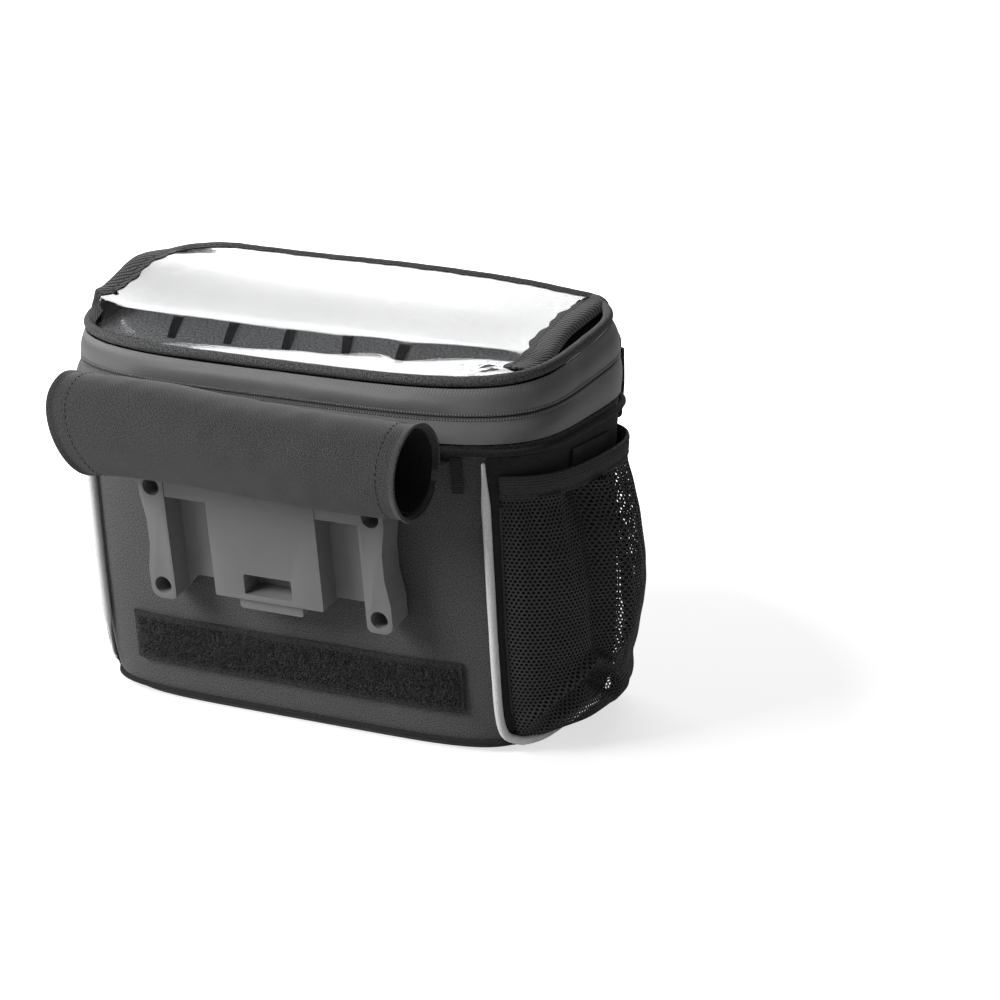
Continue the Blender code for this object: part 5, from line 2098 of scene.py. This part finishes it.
@dataclass
class RearFittings:
    """The hard mounting plate and the hook strip on the rear panel."""

    shop: Workshop
    strip_length: float = 0.179
    strip_height: float = 0.0255
    strip_foot: float = 0.0205
    strip_wall: float = 0.0014
    selvage: float = 0.0022

    def build(self) -> None:
        """Builds both fittings."""
        self.plate()
        self.strip()

    def plate(self) -> None:
        """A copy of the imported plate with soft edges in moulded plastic."""
        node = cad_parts["mount_plate"]
        bm = bmesh.new()
        bm.from_mesh(node.data)
        bmesh.ops.remove_doubles(bm, verts=bm.verts, dist=1e-6)
        bmesh.ops.dissolve_limit(
            bm, angle_limit=math.radians(1.0), verts=bm.verts, edges=bm.edges
        )
        mesh = bpy.data.meshes.new("plate_moulding")
        bm.to_mesh(mesh)
        bm.free()
        mesh.transform(node.matrix_world)
        plate = placed("plate_moulding", mesh, 30)
        edges = plate.modifiers.new("Edges", "BEVEL")
        edges.width = 0.0011
        edges.segments = 4
        edges.limit_method = "ANGLE"
        edges.angle_limit = math.radians(40)
        edges.use_clamp_overlap = True
        settled(plate)
        plate.data.shade_smooth()
        plate.data.set_sharp_from_angle(angle=math.radians(35))
        self.shop.dress(plate, "plate_plastic", "plate_plastic", "mount_plate")

    def strip(self) -> None:
        """The hook strip: a woven ground with plain selvages and a field of short hooks."""
        form = self.shop.form
        half = self.strip_length / 2
        xs = np.linspace(-half, half, 180)
        rows = []
        for z in np.linspace(self.strip_foot, self.strip_foot + self.strip_height, 28):
            outline = form.body(float(z)).grown(form.gap + self.strip_wall)
            rows.append(np.stack([xs, outline.rear_y(xs), np.full(len(xs), z)], axis=1))
        points = np.array(rows)
        points[..., 1] += grain(points, 45, 71) * 0.00035
        points[..., 1] -= np.abs(grain(points, 330, 72)) * 0.0006
        ground = surface("hook_strip_ground", points, flat_pattern(points))
        field_points = points[3:-3, 2:-2]
        bed = surface("hook_bed", field_points, flat_pattern(field_points))
        hooks = self.shop.pile.run(
            "hook_strip_pile", bed, 2.6e6, 0.0013, 0.00048, self.shop.finishes["hook_fibre"]
        )
        bpy.data.objects.remove(bed, do_unlink=True)
        walled(ground, self.strip_wall)
        self.shop.dress(ground, "hook_pile", "hook_pile", "hook_strip")
        self.shop.dress(hooks, "hook_fibre", "hook_pile")
        lines = []
        for row in (1, -2):
            line = points[row] + np.array([0, -0.0001, 0])
            out = np.tile(np.array([0.0, -0.987, -0.163]), (len(line), 1))
            lines.append((line, out))
        stitches = self.shop.repeat.run(
            "hook_strip_stitches", lines, 0.0030, (0.0022, 0.0005, 0.0004),
            self.shop.finishes["stitch_thread"],
        )
        self.shop.dress(stitches, "stitch_thread", "hook_pile")


@dataclass
class SideCloth:
    """A finely sampled side of the body between a pocket's edges, to hang things on."""

    form: BagForm
    side: Side
    columns: int = 161
    levels: int = 80
    edge_x: float = 0.1097
    places: np.ndarray = field(init=False)
    outward: np.ndarray = field(init=False)
    heights: np.ndarray = field(init=False)

    def __post_init__(self) -> None:
        """Samples the side once."""
        self.heights = np.linspace(0.003, self.form.height, self.levels)
        places = []
        for z in self.heights:
            outline = self.form.body(float(z))
            start = outline.angle_of_x(self.edge_x)
            points = outline.run(-start, start, self.columns)
            points[:, 2] = z
            places.append(points)
        self.places = np.array(places)
        along = unit(np.gradient(self.places, axis=1))
        self.outward = np.cross(along, np.array([0.0, 0, 1]))

    def read(self, table: np.ndarray, u: np.ndarray, z: np.ndarray) -> np.ndarray:
        """Reads a sampled table at shares along and heights.

        Args:
            table: The table.
            u: Shares along.
            z: Heights.

        Returns:
            The values.
        """
        col = np.clip(u, 0, 1) * (self.columns - 1)
        span = self.heights[-1] - self.heights[0]
        row = np.clip((z - self.heights[0]) / span, 0, 1) * (self.levels - 1)
        c0 = np.minimum(col.astype(int), self.columns - 2)
        r0 = np.minimum(row.astype(int), self.levels - 2)
        fc, fr = (col - c0)[..., None], (row - r0)[..., None]
        low = table[r0, c0] * (1 - fc) + table[r0, c0 + 1] * fc
        high = table[r0 + 1, c0] * (1 - fc) + table[r0 + 1, c0 + 1] * fc
        return low * (1 - fr) + high * fr

    def point(self, u: np.ndarray, z: np.ndarray, off: np.ndarray) -> np.ndarray:
        """Points that stand off the side by a distance, at their own heights.

        Args:
            u: Shares along.
            z: Heights.
            off: The distances.

        Returns:
            The points.
        """
        place = self.read(self.places, u, z)
        place[..., 2] = z
        place = place + unit(self.read(self.outward, u, z)) * off[..., None]
        return place * np.array([self.side.value, 1, 1])


@dataclass
class NetPocket:
    """A gathered net pocket with its elastic band on one side of the bag."""

    shop: Workshop
    side: Side
    seam: float = 0.0008
    foot: float = 0.0068
    band_top: float = 0.1425
    band_fall: float = 0.045
    band_height: float = 0.0105
    band_thick: float = 0.0012
    wall: float = 0.0005
    pitch: float = 0.0025
    hole: float = 0.62
    flat_width: float = 0.184
    flat_height: float = 0.150
    gathers: float = 17.0
    bulge_rows: tuple[tuple[float, ...], ...] = (
        (0.00, 0.10), (0.012, 0.62), (0.05, 0.84), (0.10, 0.84), (0.16, 0.72), (0.24, 0.84),
        (0.40, 0.98), (0.60, 1.00), (0.78, 0.80), (0.92, 0.46), (1.00, 0.30),
    )

    def __post_init__(self) -> None:
        """Sets what differs between the full right pocket and the flat left one."""
        shift = self.shop.form.cord_x(self.side) - self.shop.form.side_cord_x
        self.cloth = SideCloth(self.shop.form, self.side, edge_x=SideCloth.edge_x + shift)
        full = self.side is Side.RIGHT
        self.bulge = 0.0205 if full else 0.0018
        self.mouth = 0.0078 if full else 0.0010
        self.label = self.side.name.lower()

    def top_z(self, y: np.ndarray) -> np.ndarray:
        """Height of the band's upper edge, which falls toward the front.

        Args:
            y: Places along the depth.

        Returns:
            The heights.
        """
        form = self.shop.form
        rear = form.front_y - form.base_depth - form.rear_slope * self.band_top
        return self.band_top - self.band_fall * (y - rear)

    def mouth_off(self, u: np.ndarray) -> np.ndarray:
        """How far the mouth stands off the body.

        Args:
            u: Shares along.

        Returns:
            The distances.
        """
        arch = np.maximum(np.sin(np.pi * np.clip(u, 0, 1)), 0.0) ** 0.7
        return self.seam + (self.mouth - self.seam) * arch

    def net_points(self, u: np.ndarray, v: np.ndarray) -> np.ndarray:
        """Points of the net at shares along the side and up it.

        Args:
            u: Shares along the side, from the rear to the front.
            v: Shares up, from the foot to the band.

        Returns:
            The points, with the bulge, gathers and folds.
        """
        low = np.full_like(u, self.foot)
        y = self.cloth.read(self.cloth.places, u, low)[..., 1]
        top = self.top_z(y) - self.band_height + 0.0012
        z = self.foot + (top - self.foot) * v
        arch = np.maximum(np.sin(np.pi * u), 0.0) ** 0.75
        bulge = table_smooth(self.bulge_rows, v, 1, 0.012) * self.bulge
        off = bulge * arch
        mouth = self.mouth_off(u) - self.seam
        near_top = smooth((v - 0.90) / 0.10)
        off = off * (1 - near_top) + mouth * near_top
        depth = 0.0016 if self.side is Side.RIGHT else 0.0005
        phase = 2 * np.pi * self.gathers * u + 1.6 * np.sin(7 * u + 2 * v)
        reach = smooth((v - 0.35) / 0.6) * (1 - 0.5 * smooth((v - 0.93) / 0.07))
        off = off + depth * (0.5 + 0.5 * np.sin(phase)) * reach * np.sqrt(arch)
        place = np.stack([u * 0.15, v * 0.13, np.zeros_like(u)], axis=-1)
        sag = grain(place, 45, 81) * 0.0016 + grain(place, 95, 82) * 0.0007
        off = off + sag * arch * min(self.bulge / 0.01, 1.0)
        if self.side is Side.RIGHT:
            off = off + self.folds(u, v) * arch
        return self.cloth.point(u, z, self.seam + np.maximum(off, 0.0))

    def folds(self, u: np.ndarray, v: np.ndarray) -> np.ndarray:
        """The large folds of the full pocket.

        Args:
            u: Shares along the side.
            v: Shares up it.

        Returns:
            Heights to add: an upright ridge, the hollows beside it and a fold across the foot.
        """
        high = smooth((v - 0.18) / 0.25)
        total = 0.0072 * bump_at(u, 0.43 + 0.05 * (1 - v), 0.042) * high
        total = total - 0.0085 * bump_at(u, 0.31 + 0.04 * (1 - v), 0.058) * high
        total = total - 0.0055 * bump_at(u, 0.56, 0.050) * smooth((v - 0.25) / 0.3)
        total = total + 0.0030 * bump_at(u, 0.16, 0.036) * smooth((v - 0.50) / 0.3)
        line = np.interp(
            u, (0.0, 0.12, 0.27, 0.42, 0.55, 0.75, 1.0), (0.04, 0.17, 0.31, 0.24, 0.12, 0.08, 0.05)
        )
        total = total + 0.0058 * bump_at(v - line, 0.0, 0.028) * smooth((0.62 - u) / 0.25)
        total = total - 0.0066 * bump_at(v - line, -0.075, 0.046) * smooth((0.56 - u) / 0.2)
        return total

    def build(self) -> None:
        """Builds the net with its rear hem, and the elastic band with its stitches."""
        self.net()
        self.band()

    def net(self) -> None:
        """The net, cut flat with its holes and then laid over the pocket's form."""
        finish = self.shop.finishes["net"]
        net = self.shop.net.run(
            f"pocket_net_{self.label}", self.flat_width, self.flat_height, self.pitch,
            self.hole, finish,
        )
        mesh = net.data
        count = len(mesh.vertices)
        flat = np.empty(count * 3, dtype=np.float32)
        mesh.vertices.foreach_get("co", flat)
        flat = flat.reshape(-1, 3).astype(float)
        lo, hi = flat[:, :2].min(0), flat[:, :2].max(0)
        share = (flat[:, :2] - lo) / (hi - lo)
        points = self.net_points(share[:, 0], share[:, 1])
        mesh.vertices.foreach_set("co", points.astype(np.float32).ravel())
        mesh.update()
        layer = mesh.uv_layers.get("UVMap") or mesh.uv_layers.new(name="UVMap")
        corner = np.empty(len(mesh.loops), dtype=np.int32)
        mesh.loops.foreach_get("vertex_index", corner)
        layer.data.foreach_set("uv", flat[corner, :2].astype(np.float32).ravel())
        if self.side is Side.LEFT:
            mesh.flip_normals()
        walled(net, self.wall, 1.0)
        self.shop.dress(net, "net", "net", f"pocket_{self.label}")
        up = np.linspace(0.12, 0.95, 60)
        hem = evenly(self.net_points(np.zeros_like(up), up), 80)
        cord = cord_piece(f"pocket_hem_{self.label}", hem, 0.0009, 8)
        self.shop.dress(cord, "elastic", "elastic")

    def band(self) -> None:
        """The ribbed elastic along the mouth, with fine puckers and two stitch rows."""
        u = np.linspace(0, 1, 240)
        y = self.cloth.read(self.cloth.places, u, np.full_like(u, self.foot))[..., 1]
        rows = []
        for share in np.linspace(0, 1, 26):
            z = self.top_z(y) - self.band_height * (1 - share)
            rib = 0.00016 * math.sin(share * math.pi * 2 * 7)
            crown = 0.0004 * math.sin(math.pi * share)
            pucker = 0.00022 * np.sin(2 * np.pi * 60 * u) * bump_at(np.array(share), 0.18, 0.10)
            off = self.mouth_off(u) + self.band_thick + rib + crown + pucker
            rows.append(self.cloth.point(u, z, off))
        points = np.array(rows)
        band = surface(
            f"pocket_elastic_{self.label}", points, flat_pattern(points),
            turned=self.side is Side.LEFT,
        )
        walled(band, self.band_thick)
        self.shop.dress(band, "elastic", "elastic", f"pocket_band_{self.label}")
        out = grid_normals(points, False) * self.side.value
        lines = []
        for row in (4, -4):
            lines.append((points[row] + out[row] * 0.0002, out[row]))
        stitches = self.shop.repeat.run(
            f"elastic_stitches_{self.label}", lines, 0.0027, (0.0018, 0.0005, 0.0004),
            self.shop.finishes["stitch_thread"],
        )
        self.shop.dress(stitches, "stitch_thread", "elastic")


@dataclass
class WebbingTab:
    """The flat ribbed tab on the right side, half behind the pocket's band."""

    shop: Workshop
    pocket: NetPocket
    length: float = 0.042
    height: float = 0.0085
    centre_y: float = -0.011
    wall: float = 0.0015

    def build(self) -> None:
        """Builds the tab."""
        form = self.shop.form
        rows = []
        for edge in np.linspace(0, 1, 14):
            ys = np.linspace(self.centre_y - self.length / 2, self.centre_y + self.length / 2, 48)
            line = []
            for y in ys:
                z = float(self.pocket.top_z(np.array(y))) - self.height / 3 + self.height * edge
                x = form.body(z).side_x(float(y)) + form.gap + self.wall
                line.append((x + 0.0003 * math.sin(edge * math.pi), y, z))
            rows.append(line)
        points = np.array(rows)
        tab = surface("pocket_tab_webbing", points, flat_pattern(points))
        walled(tab, self.wall - 0.0001)
        self.shop.dress(tab, "webbing", "webbing", "pocket_tab_right")


# ---------------------------------------------------------------- the studio


@dataclass
class Studio:
    """The camera at the photograph's angle, a pale floor and soft studio light."""

    place: tuple[float, float, float] = (0.64345, -1.18632, 0.50802)
    right: tuple[float, float, float] = (0.90180, 0.43214, 0.00287)
    up: tuple[float, float, float] = (-0.12900, 0.26284, 0.95618)
    ahead: tuple[float, float, float] = (-0.41245, 0.86265, -0.29277)
    lens: float = 102.85

    def build(self) -> None:
        """Sets up the camera, world, floor and lights."""
        self.camera()
        self.world()
        self.floor()
        target = Vector((0, -0.02, 0.09))
        key = self.softbox("key_light", (-1.00, -1.10, 1.05), target, (0.9, 0.9), 36.0)
        key.visible_glossy = False
        self.softbox("side_light", (1.75, -0.55, 1.2), target, (0.9, 1.3), 1.5)
        low = self.softbox("band_light", (-0.90, -2.00, 0.40), target, (0.9, 0.3), 14.0)
        low.visible_diffuse = False
        lid = Vector((0, -0.01, 0.20))
        self.softbox("lid_light", (-0.66, 1.24, 0.96), lid, (1.9, 1.0), 21.0)

    def camera(self) -> None:
        """Places the camera."""
        data = bpy.data.cameras.new("camera")
        data.lens = self.lens
        data.sensor_width = 36.0
        data.sensor_fit = "HORIZONTAL"
        data.clip_end = 60.0
        camera = bpy.data.objects.new("camera", data)
        bpy.context.scene.collection.objects.link(camera)
        turn = Matrix((
            (self.right[0], self.up[0], -self.ahead[0]),
            (self.right[1], self.up[1], -self.ahead[1]),
            (self.right[2], self.up[2], -self.ahead[2]),
        ))
        camera.matrix_world = Matrix.Translation(self.place) @ turn.to_4x4()
        bpy.context.scene.camera = camera

    def world(self) -> None:
        """A white background that gives moderate light."""
        world = bpy.data.worlds.new("studio")
        bpy.context.scene.world = world
        world.use_nodes = True
        n = Nodes(world.node_tree)
        tree = world.node_tree
        tree.nodes.clear()
        seen = n.add("ShaderNodeLightPath")
        white = n.add("ShaderNodeBackground", Color=(1, 1, 1, 1), Strength=1.0)
        soft = n.add("ShaderNodeBackground", Color=(1, 1, 1, 1), Strength=0.12)
        mix = n.add("ShaderNodeMixShader")
        n.wire(seen.outputs["Is Camera Ray"], mix.inputs[0])
        n.wire(soft.outputs[0], mix.inputs[1])
        n.wire(white.outputs[0], mix.inputs[2])
        out = n.add("ShaderNodeOutputWorld")
        n.wire(mix.outputs[0], out.inputs[0])
        scene = bpy.context.scene
        scene.view_settings.view_transform = "Standard"

    def floor(self) -> None:
        """A wide pale floor. It glows, painted light: bright for the camera and faintly for the bag,
        with the camera's glow weaker near the middle so the floor round the bag is painted darker.
        """
        mesh = bpy.data.meshes.new("studio_floor")
        reach = 9.0
        corners = [(-reach, -reach, 0), (reach, -reach, 0), (reach, reach, 0), (-reach, reach, 0)]
        mesh.from_pydata(corners, [], [(0, 1, 2, 3)])
        floor = bpy.data.objects.new("studio_floor", mesh)
        bpy.context.scene.collection.objects.link(floor)
        made = bpy.data.materials.new("pale_floor")
        made.use_nodes = True
        n = Nodes(made.node_tree)
        shader = made.node_tree.nodes["Principled BSDF"]
        where = n.add("ShaderNodeTexCoord").outputs["Object"]
        haze = n.add("ShaderNodeTexNoise", Scale=1.5, Detail=2.0)
        n.wire(where, haze.inputs["Vector"])
        tone = n.maths("MULTIPLY_ADD", haze.outputs[0], 0.02, 0.50)
        n.wire(tone, shader.inputs["Base Color"])
        shader.inputs["Roughness"].default_value = 0.9
        shader.inputs["Specular IOR Level"].default_value = 0.1
        shader.inputs["Emission Color"].default_value = (1, 1, 1, 1)
        # Painted light: emission seen only by the camera, rising from 0.62 within 0.24 m of the
        # middle to 1.62 beyond 0.54 m, plus 0.06 that every ray sees.
        parts = n.add("ShaderNodeVectorMath", operation="LENGTH")
        n.wire(where, parts.inputs[0])
        away = n.maths("DIVIDE", n.maths("SUBTRACT", parts.outputs["Value"], 0.24), 0.30)
        seen = n.add("ShaderNodeLightPath").outputs["Is Camera Ray"]
        ramp = n.maths("MAXIMUM", n.maths("MINIMUM", away, 1.0), 0.0)
        camera_glow = n.maths("MULTIPLY", n.maths("ADD", ramp, 0.62), seen)
        n.wire(n.maths("ADD", camera_glow, 0.06), shader.inputs["Emission Strength"])
        mesh.materials.append(made)

    def softbox(
        self, name: str, place: tuple[float, float, float], target: Vector,
        size: tuple[float, float], watts: float,
    ) -> bpy.types.Object:
        """An area light that faces a target.

        Args:
            name: The light's name.
            place: Where it hangs.
            target: What it faces.
            size: Its width and height.
            watts: Its power.

        Returns:
            The light.
        """
        data = bpy.data.lights.new(name, "AREA")
        data.shape = "RECTANGLE"
        data.size, data.size_y = size
        data.energy = watts
        lamp = bpy.data.objects.new(name, data)
        bpy.context.scene.collection.objects.link(lamp)
        aim = (target - Vector(place)).to_track_quat("-Z", "Y")
        lamp.matrix_world = Matrix.Translation(place) @ aim.to_matrix().to_4x4()
        return lamp


def main() -> None:
    """Builds the studio and the bag's sub-assemblies in order."""
    logging.basicConfig(level=logging.INFO, format="%(name)s: %(message)s")
    Studio().build()
    shop = Workshop(BagForm(), Finishes(), PathRepeat(), HoleNet(), PileField())
    BodyShell(shop).build()
    CornerPiping(shop).build()
    Lid(shop).build()
    MapSleeve(shop).build()
    RolledFlap(shop).build()
    RearFittings(shop).build()
    right = NetPocket(shop, Side.RIGHT)
    right.build()
    NetPocket(shop, Side.LEFT).build()
    WebbingTab(shop, right).build()


if __name__ == "__main__":
    main()
